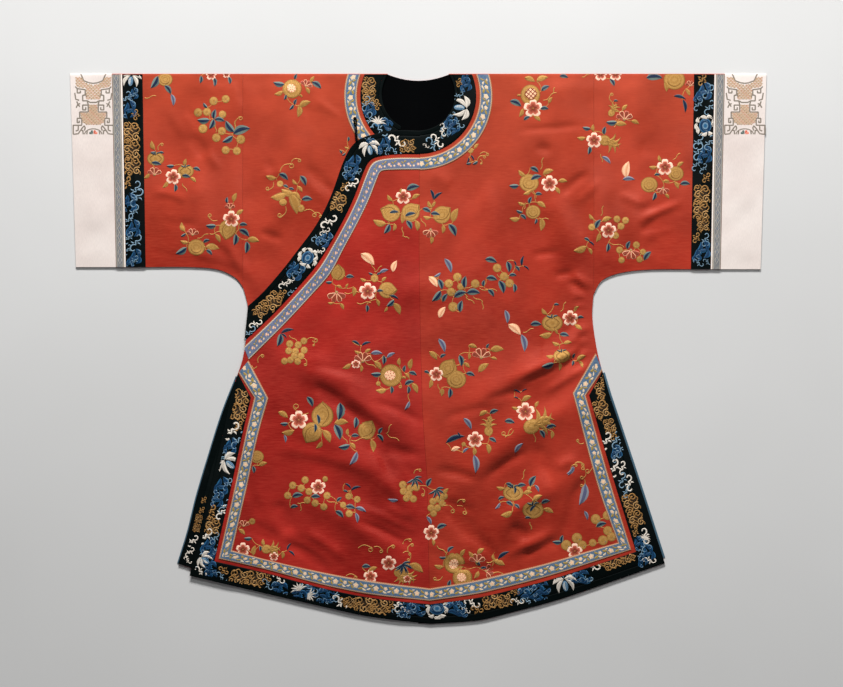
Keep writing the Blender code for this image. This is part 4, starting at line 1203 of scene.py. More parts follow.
class Stitching:
    """Raised stitches gathered into one mesh on the surface below them."""

    def __init__(self, name, material, surface, outlines=()):
        self.name, self.material, self.surface = name, material, surface
        self.outlines = outlines
        self.points, self.rises, self.colours, self.grain = [], [], [], []
        self.quads, self.corners, self.count = [], [], 0
        self.lift = 0.0

    def add(self, place, points, rises, colours, quads, corners=()):
        """Local points in millimetres, their rise, thread colours and faces."""
        points = np.asarray(points, dtype=float)
        self.points.append(place(points))
        self.rises.append(np.asarray(rises, dtype=float) + self.lift)
        self.colours.append(np.asarray(colours, dtype=float))
        self.grain.append(points)
        self.quads.append(np.asarray(quads, dtype=int).reshape(-1, 4) + self.count)
        self.corners.append(np.asarray(corners, dtype=int).reshape(-1, 3) + self.count)
        self.count += len(points)

    def patch(self, place, outline, rings, middle=None, rise=THREAD_RISE):
        """A filled shape; rings are shares of the way out and their colours."""
        outline = np.asarray(outline, dtype=float)
        middle = outline.mean(axis=0) if middle is None else np.array(middle)
        count = len(outline)
        points = [middle + (outline - middle) * share for share, _ in rings] + [middle[None]]
        rises = [np.full(count, rise * math.sqrt(max(0.0, 1 - share ** 3)) - SUNK)
                 for share, _ in rings] + [[rise - SUNK]]
        colours = [[colour_of(colour)] * count for _, colour in rings]
        colours.append([colour_of(rings[-1][1])])
        here = np.arange(count)
        after = np.roll(here, -1)
        quads = [np.stack([here, after, after + count, here + count], axis=1) + k * count
                 for k in range(len(rings) - 1)]
        last = (len(rings) - 1) * count
        hub = np.full(count, len(rings) * count)
        corners = np.stack([here + last, after + last, hub], axis=1)
        self.add(place, np.concatenate(points), np.concatenate(rises),
                 np.concatenate(colours), np.concatenate(quads), corners)

    def line(self, place, path, width, colour, rise=LINE_RISE, closed=False, foot=-SUNK):
        """One laid thread or stem along a path; its edges are at the height foot."""
        path = np.asarray(path, dtype=float)
        if closed:
            path = np.concatenate([path, path[:1]])
        run = np.gradient(path, axis=0)
        if closed:
            run[0] = run[-1] = run[0] + run[-1]
        run /= np.maximum(np.linalg.norm(run, axis=1), TINY)[:, None]
        side = pairs(-run[:, 1], run[:, 0]) * width / 2
        rows = len(path)
        points = np.stack([path - side, path, path + side], axis=1).reshape(-1, 2)
        rises = np.tile([foot, rise, foot], rows)
        self.add(place, points, rises, [colour_of(colour)] * (3 * rows), grid_faces(rows, 3))

    def leaf(self, place, length, width, colours, bend=0.1, rise=THREAD_RISE):
        """A pointed leaf whose middle is at the origin and whose tip is at +x."""
        t = np.linspace(0.0, 1.0, LEAF_ROWS)
        spine = pairs(length * (t - 0.5), -bend * length * 4 * t * (1 - t))
        half = width / 2 * np.sin(math.pi * t ** 0.85) ** 0.8 + 0.05
        columns = len(LEAF_COLUMNS)
        points = np.repeat(spine[:, None], columns, axis=1)
        points[..., 1] += half[:, None] * np.array(LEAF_COLUMNS)
        rises = np.tile([-SUNK, 0.8 * rise, rise, rise, 0.8 * rise, -SUNK], LEAF_ROWS)
        shades = [colour_of(colour) for colour in colours] * LEAF_ROWS
        self.add(place, points.reshape(-1, 2), rises, shades, grid_faces(LEAF_ROWS, columns))

    def build(self):
        """Make the mesh, with its faces up and nothing beyond the shoulder fold."""
        points = np.concatenate(self.points)
        quads, corners = np.concatenate(self.quads), np.concatenate(self.corners)
        quads = quads[(points[quads][..., 1] > FOLD_HALF / 2).any(axis=1)]
        corners = corners[(points[corners][..., 1] > FOLD_HALF / 2).any(axis=1)]
        points[:, 1] = np.maximum(points[:, 1], FOLD_HALF / 2)
        if self.outlines:
            kept = np.any([inside(outline, *points.T) for outline in self.outlines], axis=0)
            quads, corners = quads[kept[quads].all(axis=1)], corners[kept[corners].all(axis=1)]
        z = self.surface(points[:, 0], points[:, 1]) + np.concatenate(self.rises)
        solid = np.stack([points[:, 0], FOLD_Y - points[:, 1], z], axis=1) * MM
        faces = []
        for group in (quads, corners):
            a, b, c = (solid[group[:, k], :2] for k in (0, 1, 2))
            ab, bc = b - a, c - b
            turned = ab[:, 0] * bc[:, 1] < ab[:, 1] * bc[:, 0]
            group[turned] = group[turned][:, ::-1]
            faces += group.tolist()
        piece = mesh_object(self.name, solid, faces, self.material)
        colours = np.concatenate(self.colours)
        layer = piece.data.color_attributes.new("thread", "FLOAT_COLOR", "POINT")
        layer.data.foreach_set("color", np.c_[colours, np.ones(len(colours))].ravel())
        loops = np.zeros(len(piece.data.loops), dtype=np.int32)
        piece.data.loops.foreach_get("vertex_index", loops)
        grain = np.concatenate(self.grain)[loops] / STITCH_UV
        piece.data.uv_layers.new(name="stitch").uv.foreach_set("vector", grain.ravel())
        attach(piece, "root")
        return piece


class Work:
    """Silk and gold stitches of one part of the robe."""

    def __init__(self, name, materials, surface, outlines=()):
        self.silk = Stitching("silk_stitches_" + name, materials["thread"], surface, outlines)
        self.gold = Stitching("gold_stitches_" + name, materials["gold"], surface, outlines)

    def build(self):
        for stitching in (self.silk, self.gold):
            if stitching.count:
                stitching.build()


def direction(degrees):
    """Cosine and sine of an angle in degrees."""
    turn = math.radians(degrees)
    return math.cos(turn), math.sin(turn)


def spot(across, drop, turn=0.0):
    """Places local points, x along the turn and y clockwise from it."""
    c, s = direction(turn)

    def place(points):
        x, y = points[..., 0], points[..., 1]
        return pairs(across + x * c - y * s, drop + x * s + y * c)

    return place


def within(place, x, y, turn=0.0, size=1.0):
    """A place inside another place."""
    inner = spot(x, y, turn)
    return lambda points: place(inner(points * size))


# Motifs, in millimetres round their own middle

def full_turn(count):
    """Evenly spaced turns all round, in radians."""
    return 2 * math.pi * np.arange(count) / count


def circle(radius, count=14, squash=1.0):
    turns = full_turn(count)
    return radius * pairs(np.cos(turns), squash * np.sin(turns))


def couched(count):
    """Rings of laid gold thread, dark and light by turns, inside a darker edge."""
    rings = [(1.0, GOLD_DARK), (0.94, GOLD_DARK)]
    for k, share in enumerate(np.linspace(0.88, 0.15, count)):
        rings.append((float(share), GOLD_PALE if k % 2 else GOLD))
    return rings


def make_leaf(kind):
    def draw(work, place, size):
        stitching = work.gold if kind == "gold" else work.silk
        stitching.leaf(place, size, size * LEAF_SHARES[kind], LEAF_COLOURS[kind])
    return draw


def berry(work, place, size):
    work.gold.patch(place, circle(size), couched(3))
    work.silk.patch(within(place, size * 0.45, size * 0.25), circle(size * 0.2, 6),
                    [(1.0, TEAL), (0.5, TEAL)])


def petal(length, spread=34.0):
    """Outline of a notched petal from its base at the origin out along +x."""
    shares = np.linspace(-1.0, 1.0, 11)
    turns = np.radians(shares * spread)
    out = length * (0.62 + 0.38 * np.cos(shares * math.pi / 2) ** 0.6)
    out = out - 0.08 * length * np.exp(-(shares / 0.25) ** 2)
    edge = pairs(out * np.cos(turns), out * np.sin(turns))
    return np.concatenate([[(0.0, 0.0)], edge])


def bloom(work, place, size):
    """Plum blossom: five pale-edged petals round a tan heart."""
    for turn in (-90.0, -18.0, 54.0, 126.0, 198.0):
        turned = within(place, 0.0, 0.0, turn)
        work.silk.patch(turned, petal(size),
                        [(1.0, CREAM), (0.94, CREAM), (0.76, CREAM), (0.66, ROSE), (0.3, TAN)],
                        middle=(0.0, 0.0))
        work.silk.line(turned, [(0.12 * size, 0.0), (0.5 * size, 0.0)], 1.1, TAN, 0.8)
    work.gold.patch(place, circle(size * 0.14, 8), [(1.0, GOLD_PALE), (0.5, GOLD)], rise=0.9)


def open_bloom(work, place, size):
    """Half a blossom seen from the side: pale-edged petals over a small heart."""
    for k, turn in enumerate((-152, -112, -70, -28)):
        away = within(place, 0.0, 0.3 * size, turn)
        edge = PEACH if k % 2 else SALMON
        work.silk.patch(away, petal(1.2 * size, 22.0),
                        [(1.0, edge), (0.84, edge), (0.78, TAN), (0.3, TAN)])
    work.silk.patch(within(place, 0.0, 0.3 * size), circle(size * 0.2, 8),
                    [(1.0, TEAL), (0.5, GOLD_PALE)], rise=0.8)


def groove(work, place, path):
    """A dark couched line on top of a fruit."""
    work.gold.line(place, path, 1.0, GOLD_DARK, 0.75, foot=0.5)


def crown(work, place, size, reach, turns):
    """Small gold leaves that stand out from a pomegranate."""
    for turn in turns:
        work.gold.leaf(within(place, size * reach, 0.0, turn), size * 0.4, size * 0.22,
                       LEAF_COLOURS["gold"])


def round_fruit(work, place, size):
    work.gold.patch(place, circle(size, 22, 0.92), couched(6))
    groove(work, place, circle(size * 0.62, 22, 0.92)[2:11])


def tipped_fruit(work, place, size):
    """Peach: round, with a tip at +x and a cleft."""
    turns = full_turn(26)
    away = np.minimum(turns, 2 * math.pi - turns)
    radius = size * (0.94 + 0.26 * np.exp(-(away / 0.26) ** 2))
    outline = pairs(radius * np.cos(turns), radius * np.sin(turns) * 0.98)
    work.gold.patch(place, outline, couched(6))
    t = np.linspace(0.0, 1.0, 9)
    cleft = pairs(size * (1.05 - 1.75 * t), size * 0.5 * np.sin(math.pi * t))
    groove(work, place, cleft)


def seeded_fruit(work, place, size):
    """Pomegranate that shows its seeds."""
    work.gold.patch(place, circle(size, 22), couched(5))
    crown(work, place, size, 1.12, (-25, 0, 25))
    window = within(place, -size * 0.08, 0.0)
    work.silk.patch(window, circle(size * 0.58, 16, 0.9),
                    [(1.0, GOLD_DARK), (0.9, PEACH), (0.6, PEACH), (0.3, PEACH)], rise=0.8)
    for ring, count in ((0.36, 8), (0.16, 4)):
        for x, y in circle(size * ring, count):
            work.silk.patch(within(window, x, y), circle(size * 0.09, 6),
                            [(1.0, SALMON), (0.5, ROSE)], rise=1.0)


def lattice_fruit(work, place, size):
    """Pomegranate with a window of crossed threads."""
    work.gold.patch(place, circle(size, 22, 1.05), couched(5))
    crown(work, place, size, -1.1, (150, 180, 210))
    window = within(place, size * 0.04, -size * 0.1)
    work.silk.patch(window, circle(size * 0.66, 16), [(1.0, PEACH_DARK), (0.85, PEACH), (0.4, PEACH)],
                    rise=0.75)
    reach = size * 0.6
    for off in (-0.45 * size, -0.15 * size, 0.15 * size, 0.45 * size):
        half = math.sqrt(reach ** 2 - off ** 2)
        for turn in (40, 130):
            path = [(-half, off), (0.0, off), (half, off)]
            work.silk.line(within(window, 0.0, 0.0, turn), path, 1.5, TAN, 1.0, foot=0.7)


def wide_fruit(work, place, size):
    """Persimmon: broad, with curling couched lines and a dark calyx."""
    work.gold.patch(place, circle(size, 22, 0.8), couched(5))
    for side in (-1, 1):
        t = np.linspace(0.0, 1.0, 10)
        curled = pairs(side * size * (0.15 + 0.5 * np.sin(math.pi * t)), size * (-0.45 + 0.9 * t))
        groove(work, place, curled)
    for turn in (-160, -90, -20):
        across = size * 0.32 * direction(turn)[0]
        work.silk.leaf(within(place, across, -size * 0.6, turn), size * 0.5, size * 0.22,
                       LEAF_COLOURS["blue"], rise=0.9)


def hand_fruit(work, place, size):
    """Finger citron: a broad base with curved fingers towards +x."""
    work.gold.patch(within(place, -size * 0.35, 0.0), circle(size * 0.48, 16, 0.9), couched(4))
    for k, turn in enumerate((-62, -36, -12, 12, 36, 62)):
        reach = size * (0.95 if k in (0, 5) else 1.2)
        finger = within(place, -size * 0.2, 0.0, turn)
        work.gold.leaf(within(finger, reach * 0.5, 0.0), reach, size * 0.27,
                       LEAF_COLOURS["gold"], bend=0.24 if turn > 0 else -0.24)


def star_leaf(work, place, size):
    """Five narrow leaves from one point."""
    for turn, share in ((-60, 0.8), (-20, 1.0), (20, 1.0), (60, 0.9), (100, 0.8)):
        length = size * share
        away = within(place, 0.0, 0.0, turn)
        work.silk.leaf(within(away, length / 2, 0.0), length, size * 0.26, LEAF_COLOURS["blue"])


def twig(work, place, size):
    t = np.linspace(0.0, 1.0, 8)
    path = pairs(size * t, 0.08 * size * np.sin(2 * math.pi * t))
    work.gold.line(place, path, STEM, GOLD_PALE)


def curl(work, place, size):
    """Tendril that runs out and ends in a spiral."""
    t = np.linspace(0.0, 1.0, 9)
    stem = pairs(size * 0.75 * t, -0.16 * size * np.sin(math.pi * t))
    turns = np.linspace(0.0, 2 * math.pi * 1.25, 14)[1:]
    radius = size * 0.17 * (1 - 0.55 * turns / turns[-1])
    middle = stem[-1] + (0.0, size * 0.17)
    spiral = middle + pairs(radius * np.sin(turns), -radius * np.cos(turns))
    work.gold.line(place, np.concatenate([stem, spiral]), STEM, GOLD_PALE)


MOTIFS = {kind: make_leaf(kind) for kind in LEAF_COLOURS} | {
    "berry": berry, "bloom": bloom, "open": open_bloom, "round": round_fruit,
    "tipped": tipped_fruit, "seeded": seeded_fruit, "lattice": lattice_fruit,
    "wide": wide_fruit, "hand": hand_fruit, "star": star_leaf, "twig": twig, "curl": curl,
}
# Kinds that cross fruit and stems are stitched this much higher, in millimetres
RAISED = {"bloom": 0.25, "blue": 0.2, "violet": 0.2, "peach": 0.2, "navy": 0.2, "open": 0.2}

# Motifs of the black bands and the ribbons

DEEP, SKY, ICE = (8, 46, 78), (34, 86, 122), (116, 144, 162)
WHITE, VEIN = (216, 206, 192), (168, 160, 150)
WHITE_PETAL = (VEIN, WHITE, WHITE, VEIN, WHITE, VEIN)
BLUE_GROUND, OLIVE, PINK = (84, 96, 120), (142, 128, 62), (206, 166, 142)
CREAM_SILK = (204, 184, 156)
COUCHED, COUCHED_DARK = (152, 112, 64), (46, 32, 18)
COUCHED_PALE = (172, 134, 86)


def coil(x, y, radius, start, turns, inward=0.3):
    """A hook or spiral from its outside in; a negative number turns it back."""
    t = np.linspace(0.0, 1.0, 16)
    turn = np.radians(start + 360.0 * turns * t)
    reach = radius * (1 - (1 - inward) * t)
    return pairs(x + reach * np.cos(turn), y + reach * np.sin(turn))


def stroke(stitching, place, size, path, width, colour, rise=LINE_RISE):
    stitching.line(place, np.asarray(path) * size, width * size, colour, rise)


# Scrolls of a knot, in half lengths: middle, radius, start and turns
KNOT_COILS = [
    (-0.56, -0.3, 0.5, 20, 1.5), (0.42, -0.42, 0.42, 220, -1.5), (0.66, 0.34, 0.38, 100, 1.4),
    (-0.04, 0.42, 0.42, -110, -1.4), (-0.74, 0.5, 0.28, 60, 1.2),
]
KNOT_WAVES = [(-0.62, 0.16, 5.2, 0.4), (0.12, 0.22, 6.4, 2.2), (0.7, 0.12, 8.0, 1.0)]


def gold_knot(work, place, size):
    """Tangle of couched gold scrolls and waves over a dark ground."""
    outline = circle(size, 20, 0.8)
    work.silk.patch(place, outline, [(1.0, COUCHED_DARK), (0.5, COUCHED_DARK)], rise=0.2)
    for k, (x, y, reach, start, turns) in enumerate(KNOT_COILS):
        stroke(work.gold, place, size, coil(x, y, reach, start, turns, 0.12), 0.14,
               COUCHED_PALE if k % 2 else COUCHED)
    t = np.linspace(-1.0, 1.0, 18)
    for off, height, pace, phase in KNOT_WAVES:
        wave = pairs(t * (1.1 - abs(off) / 2), off + height * np.sin(pace * t + phase))
        stroke(work.gold, place, size, wave, 0.12, COUCHED, 0.75)


# Barbs of a scroll, in half lengths: middle and direction; silk scrolls have the first two
SCROLL_BARBS = [(-0.1, 0.34, 120), (0.14, -0.34, -60), (-0.42, 0.42, 100), (0.46, -0.42, -80)]
HOOK_FOOT = 0.23            # where a hook joins the scroll's stem, in half lengths


def s_scroll(colour, width, metal):
    """Two hooks joined by a stem, with a few short barbs."""
    reach, turns, barbs = (0.4, -0.95, 4) if metal else (0.5, -0.74, 2)
    x = HOOK_FOOT + reach * math.cos(math.radians(30))

    def draw(work, place, size):
        stitching = work.gold if metal else work.silk
        first = coil(-x, -reach / 2, reach, 30, turns)[::-1]
        second = coil(x, reach / 2, reach, 210, turns)
        stem = [(-0.15, 0.02), (0.0, 0.0), (0.15, -0.02)]
        stroke(stitching, place, size, np.concatenate([first, stem, second]), width, colour)
        for x_barb, y_barb, turn in SCROLL_BARBS[:barbs]:
            barb = within(place, x_barb * size, y_barb * size, turn)
            stitching.leaf(barb, size * 0.46, size * width, (colour,) * 6, bend=0.2)
    return draw


# Leaves of a cloud, in half lengths: middle, direction, length, width, bend
CLOUD_LEAVES = [
    (-0.45, -0.2, -20, 1.25, 0.62, 0.2), (0.4, -0.28, 28, 1.1, 0.56, 0.22),
    (0.42, 0.42, 165, 1.2, 0.56, 0.2), (-0.4, 0.42, 200, 1.0, 0.5, -0.2),
    (0.02, 0.08, 80, 0.9, 0.5, 0.1),
]
CLOUD_TONES = (SKY, SKY, DEEP, DEEP, DEEP, SKY)


def blue_cloud(work, place, size):
    """Curling leaves of deep blue with paler edges and hooks."""
    for x, y, turn, length, width, bend in CLOUD_LEAVES:
        work.silk.leaf(within(place, x * size, y * size, turn), length * size, width * size,
                       CLOUD_TONES, bend=bend, rise=0.4)
    for x, y, start, turns in ((-0.62, -0.42, 150, 0.7), (0.66, 0.5, -30, 0.7)):
        stroke(work.silk, place, size, coil(x, y, 0.26, start, turns, 0.5), 0.1, ICE, 0.7)
    stroke(work.silk, place, size, coil(0.3, -0.1, 0.34, 60, 0.6, 0.6), 0.08, SKY, 0.75)


# Petals of the lotus: middle, direction, length, width and bend; it opens towards +x
LOTUS_PETALS = [(-0.5, 0.66, 72, 1.35, 0.62, -0.2), (-0.5, -0.66, -72, 1.35, 0.62, 0.2),
                (0.06, 0.44, 26, 1.5, 0.5, -0.2), (0.06, -0.44, -26, 1.5, 0.5, 0.2)]


def lotus(work, place, size):
    """Curved white petals in a fan round a striped pale blue heart."""
    for x, y, turn, length, width, bend in LOTUS_PETALS:
        work.silk.leaf(within(place, x * size, y * size, turn), length * size, width * size,
                       WHITE_PETAL, bend=bend)
    heart = within(place, 0.08 * size, 0.0)
    work.silk.patch(heart, circle(size * 0.6, 16, 0.52),
                    [(1.0, SKY), (0.92, SKY), (0.86, ICE), (0.4, ICE)], rise=0.8)
    for off in (-0.16, -0.05, 0.05, 0.16):
        half = 0.48 - 1.2 * abs(off)
        path = [(-half * size, off * size), (0.0, off * 1.4 * size), (half * size, off * size)]
        work.silk.line(heart, path, 1.0, WHITE if off > 0 else SKY, 0.95, foot=0.7)


# Petals of the peony: direction, distance, length and lean
PEONY = [(10, 0.72, 0.7, 50), (48, 0.8, 0.5, -40), (85, 0.74, 0.66, 60), (128, 0.82, 0.5, 30),
         (165, 0.7, 0.72, -60), (205, 0.84, 0.54, 50), (240, 0.74, 0.6, -50), (280, 0.8, 0.62, 40),
         (322, 0.82, 0.5, -30)]


def round_flower(work, place, size):
    """Peony: blue rings inside a frill of white petals and curls."""
    for turn, away, length, lean in PEONY:
        turned = within(place, 0.0, 0.0, turn)
        work.silk.leaf(within(turned, away * size, 0.0, lean), size * length, size * 0.38,
                       WHITE_PETAL, bend=0.2 if lean > 0 else -0.2)
        stroke(work.silk, turned, size, coil(away + 0.1, 0.16, 0.12, 90, 0.8, 0.5), 0.09, WHITE)
    work.silk.patch(place, circle(size * 0.7, 18, 0.84),
                    [(1.0, ICE), (0.9, SKY), (0.74, DEEP), (0.5, DEEP), (0.4, ICE), (0.2, SKY)],
                    rise=0.7)
    for turn in (20, 200):
        stroke(work.silk, within(place, 0.0, 0.0, turn), size, coil(0.12, 0.0, 0.4, -60, 0.45), 0.07,
               ICE, 1.0)


def shell(work, place, size):
    """Fan of narrow white rays towards +x over a blue base."""
    work.silk.patch(within(place, -0.25 * size, 0.0), circle(size * 0.5, 12), [(1.0, DEEP), (0.5, SKY)],
                    rise=0.35)
    for turn in (-80, -54, -28, 0, 28, 54, 80):
        away = within(place, -0.35 * size, 0.0, turn)
        work.silk.leaf(within(away, size * 0.6, 0.0), size * 1.15, size * 0.26, WHITE_PETAL,
                       bend=0.002 * turn)


BAND_MOTIFS = {
    "blue": blue_cloud, "ice": s_scroll(ICE, 0.15, False), "white": s_scroll(WHITE, 0.2, False),
    "knot": gold_knot, "curl": s_scroll(COUCHED, 0.2, True), "lotus": lotus,
    "flower": round_flower, "shell": shell,
}
# Columns: column and row of the photograph, direction, and half length in its pixels
BAND_WORK = {
    "blue": [
        (231, 446, 100, 7.5), (222, 486, 100, 8.5), (218, 499, 100, 7.5), (209, 546, 100, 8),
        (212, 555, 100, 6), (210, 566, 10, 7), (211, 575, 20, 6.5), (280, 588, 10, 8), (300, 595, 10, 7),
        (312, 590, 10, 7), (327, 594, 10, 8), (322, 602, 10, 5), (408, 606, 0, 8), (417, 608, 0, 8),
        (405, 614, 0, 5), (455, 608, -10, 9), (462, 613, -10, 5), (527, 592, -20, 8.5), (541, 588, -20, 8),
        (540, 597, -20, 6), (581, 577, -20, 8.5), (573, 579, -20, 5), (616, 452, 75, 6.5),
        (638, 543, 70, 6), (648, 553, 70, 7.5), (642, 560, 60, 6), (353, 164, 110, 8.5), (351, 175, 110, 6),
        (325, 240, 120, 8), (297, 272, 120, 8.5), (291, 266, 120, 5), (370, 110, 80, 7), (387, 124, 30, 6),
        (385, 145, 90, 7), (378, 151, 0, 4), (371, 142, 0, 4), (450, 122, -60, 6.5), (453, 130, -60, 6),
        (466, 85, 80, 6.5), (465, 78, 80, 5), (130, 110, 90, 8), (134, 94, 90, 5.5), (130, 203, 90, 8.5),
        (134, 229, 90, 8), (136, 257, 90, 7), (130, 263, 90, 5), (704, 92, 90, 8.5), (698, 97, 90, 5),
        (705, 155, 90, 8), (703, 250, 90, 8.5), (697, 256, 90, 5),
    ],
    "ice": [
        (239, 440, 100, 9), (222, 458, 95, 6), (228, 484, 95, 6), (216, 497, 95, 5), (225, 506, 100, 7),
        (215, 538, 95, 6), (217, 549, 95, 5), (199, 560, 95, 7), (222, 577, 20, 6), (268, 584, 20, 6),
        (310, 588, 0, 8), (327, 603, 30, 5), (336, 595, 60, 6), (398, 613, 0, 6), (411, 611, 90, 7),
        (459, 604, -10, 6), (528, 601, -20, 7), (530, 589, -50, 6), (568, 577, -10, 5), (586, 579, -30, 6),
        (616, 440, 75, 8), (620, 450, 75, 7), (614, 457, 60, 5), (622, 480, 70, 7), (626, 491, 70, 6),
        (644, 545, 60, 6), (640, 555, 60, 5), (318, 238, 130, 6), (325, 241, 120, 5), (293, 292, 120, 5),
        (297, 273, 120, 5), (347, 172, 110, 5), (357, 173, 110, 5), (250, 333, 100, 7), (387, 150, 60, 5),
        (370, 140, 0, 5), (395, 152, 0, 6), (366, 104, 80, 7), (380, 130, 10, 8), (370, 120, 60, 7),
        (433, 145, 20, 8), (446, 135, -60, 5), (458, 124, 0, 6), (450, 116, -60, 5), (458, 96, -60, 5),
        (446, 128, -50, 5), (134, 95, 90, 6), (126, 99, 90, 7), (136, 190, 80, 8), (137, 198, 90, 9),
        (134, 212, 90, 7), (129, 220, 90, 6), (129, 238, 90, 6), (136, 243, 90, 8), (128, 250, 90, 5),
        (135, 261, 90, 5), (698, 105, 90, 6), (709, 108, 90, 7), (698, 142, 90, 7), (709, 143, 90, 7),
        (698, 152, 80, 8), (696, 165, 90, 6), (703, 169, 90, 5), (698, 263, 0, 5), (705, 240, 80, 6),
        (708, 92, 100, 7), (707, 262, 0, 4),
    ],
    "white": [
        (232, 431, 100, 9), (206, 536, 100, 8), (222, 512, 95, 7), (279, 578, 10, 6), (201, 571, 10, 6),
        (398, 604, 70, 7), (405, 609, 0, 4), (340, 602, 20, 8), (472, 603, -10, 7), (466, 610, 0, 4),
        (517, 601, -25, 6), (592, 566, -20, 7), (606, 441, 80, 8), (614, 468, 70, 8), (622, 468, 70, 6),
        (629, 483, 60, 7), (645, 536, 50, 7), (649, 560, -20, 6), (352, 185, 110, 7), (329, 222, 120, 8),
        (325, 232, 120, 5), (320, 252, 120, 5), (285, 284, 120, 6), (291, 281, 120, 4), (256, 324, 130, 6),
        (397, 141, 0, 8), (437, 141, 20, 7), (426, 146, 0, 3), (443, 130, 50, 6),
    ],
    "knot": [
        (241, 397, 10, 8.5), (239, 412, 10, 8.5), (213, 526, 100, 8), (240, 577, 15, 8.5),
        (256, 578, 15, 8.5), (365, 604, 8, 9), (380, 606, 8, 8.5), (351, 602, 8, 6), (492, 600, -15, 8.5),
        (505, 600, -15, 7), (603, 391, 75, 8), (601, 410, 75, 8.5), (610, 426, 75, 6.5),
        (631, 503, 72, 8.5), (636, 519, 72, 8), (612, 561, -20, 8), (627, 556, -20, 7),
        (338, 203, 115, 8.5), (273, 302, 135, 8.5), (261, 311, 135, 7), (369, 86, 90, 7.5),
        (369, 98, 90, 7), (408, 146, 0, 7), (132, 133, 90, 9), (132, 150, 90, 9), (133, 167, 90, 8.5),
        (702, 195, 90, 8.5), (701, 211, 90, 8.5), (703, 225, 90, 6.5),
    ],
    "curl": [
        (239, 426, 100, 6), (211, 511, 100, 8), (224, 570, 10, 6), (267, 577, 15, 6), (390, 606, 80, 7),
        (344, 600, 10, 5), (477, 609, -10, 7), (515, 592, -20, 5), (613, 435, 75, 6), (635, 532, 75, 5),
        (345, 187, 110, 6), (282, 294, 120, 6), (377, 105, 60, 6), (136, 115, 70, 6), (127, 183, 90, 7),
        (702, 80, 90, 7), (706, 178, 100, 6), (696, 238, 90, 6), (603, 379, 80, 5), (600, 564, -20, 5),
        (459, 83, 80, 5),
    ],
    "lotus": [
        (230, 464, 40, 8.5), (206, 560, 40, 6.5), (565, 585, 80, 8.5), (460, 108, 185, 8.5),
        (370, 150, 80, 7.5), (131, 81, 95, 7.5),
    ],
    "flower": [(308, 258, 120, 8.5), (705, 126, 90, 9), (437, 608, 0, 9.5)],
    "shell": [(378, 122, -80, 7), (299, 588, -110, 7), (310, 595, 20, 7), (645, 538, -60, 5)],
}
BAND_OVER = 0.2             # stitches reach this share of the band over the binding
BAND_SIZES = {"blue": 1.12, "knot": 1.15, "lotus": 1.1, "flower": 1.2, "shell": 1.1,
              "white": 1.12, "ice": 1.12}
UNDERLAP_WORK = {
    "curl": [(204, 500, 105, 4), (202, 510, 105, 4)],
    "knot": [(199, 519, 105, 4), (197, 528, 105, 4)],
    "white": [(193, 541, 105, 6), (190, 552, 105, 5), (188, 560, 10, 4)],
}


def band_top(across, drop):
    return garment_top(across, drop) + GAP + TRIM


def underlap_top(across, drop):
    return on_front(across, drop) + TRIM


def add_band_work(materials):
    """Gold scrolls, lotus, peony and clouds on the black bands."""
    for name, rows, surface in (("bands", BAND_WORK, band_top),
                                ("underlap", UNDERLAP_WORK, underlap_top)):
        outlines = []
        for strip, (near, far) in laid_strips.items():
            if "band" in strip and (name == "underlap") == ("underlap" in strip):
                near = near + (near - far) * BAND_OVER
                outlines.append(np.concatenate([near, far[::-1], near[:1]]))
        work = Work(name, materials, surface, outlines)
        for kind, draw in BAND_MOTIFS.items():
            for column, row, turn, size in rows.get(kind, ()):
                scale = PIXEL * BAND_SIZES.get(kind, 1.0)
                draw(work, spot(*from_photo(column, row), turn), size * scale)
        work.build()


def strip_course(name):
    """Length along, middle line and unit vector across of a laid strip."""
    near, far = laid_strips[name]
    middle = (near + far) / 2
    side = far - near
    return lengths_along(middle), middle, side / np.linalg.norm(side, axis=1)[:, None]


def on_course(course, start):
    """Places local points on a strip: x along it, y across it."""
    along, middle, side = course

    def place(points):
        u, v = start + points[..., 0], points[..., 1]
        centre = np.stack([np.interp(u, along, middle[:, k]) for k in (0, 1)], axis=-1)
        across = np.stack([np.interp(u, along, side[:, k]) for k in (0, 1)], axis=-1)
        return centre + v[..., None] * across

    return place


# One repeat of each ribbon: along, across, turn, length or radius, kind, colour
FLOWER_REPEAT = [
    (0.0, 0.0, 20, 7.6, "flower", CREAM_SILK), (9.5, -3.4, 25, 10.5, "leaf", OLIVE),
    (11.0, 4.0, -35, 10.0, "leaf", OLIVE), (18.0, 1.6, 60, 5.6, "flower", CREAM_SILK),
    (17.0, -5.0, -20, 9.0, "leaf", CREAM_SILK), (25.0, -2.8, 30, 8.5, "leaf", CREAM_SILK),
    (28.0, 3.4, -20, 10.5, "leaf", OLIVE), (33.0, -3.6, -60, 8.5, "leaf", OLIVE),
    (32.0, 5.6, 10, 6.5, "leaf", CREAM_SILK),
]
SMALL_REPEAT = [
    (0.0, 0.8, 0, 4.3, "flower", PINK), (6.5, -3.6, 40, 7.0, "leaf", OLIVE),
    (8.5, 3.6, 0, 3.0, "flower", CREAM_SILK), (12.5, -1.8, -50, 6.5, "leaf", OLIVE),
    (15.0, 4.0, 0, 2.6, "flower", PINK),
]
RIBBONS = [
    ("skirt_ribbon_left", 39.0, FLOWER_REPEAT), ("skirt_ribbon_right", 39.0, FLOWER_REPEAT),
    ("neck_ribbon_left", 39.0, FLOWER_REPEAT), ("neck_ribbon_right", 39.0, FLOWER_REPEAT),
    ("flap_ribbon", 18.5, SMALL_REPEAT),
]
RIBBON_START, RIBBON_END = 3.0, 5.0     # no flowers nearer than this to a ribbon's ends
DIAMOND = 15.0              # length of a diamond
DIAMOND_HALF = 3.4          # half its width
WOVEN_RISE = 0.3


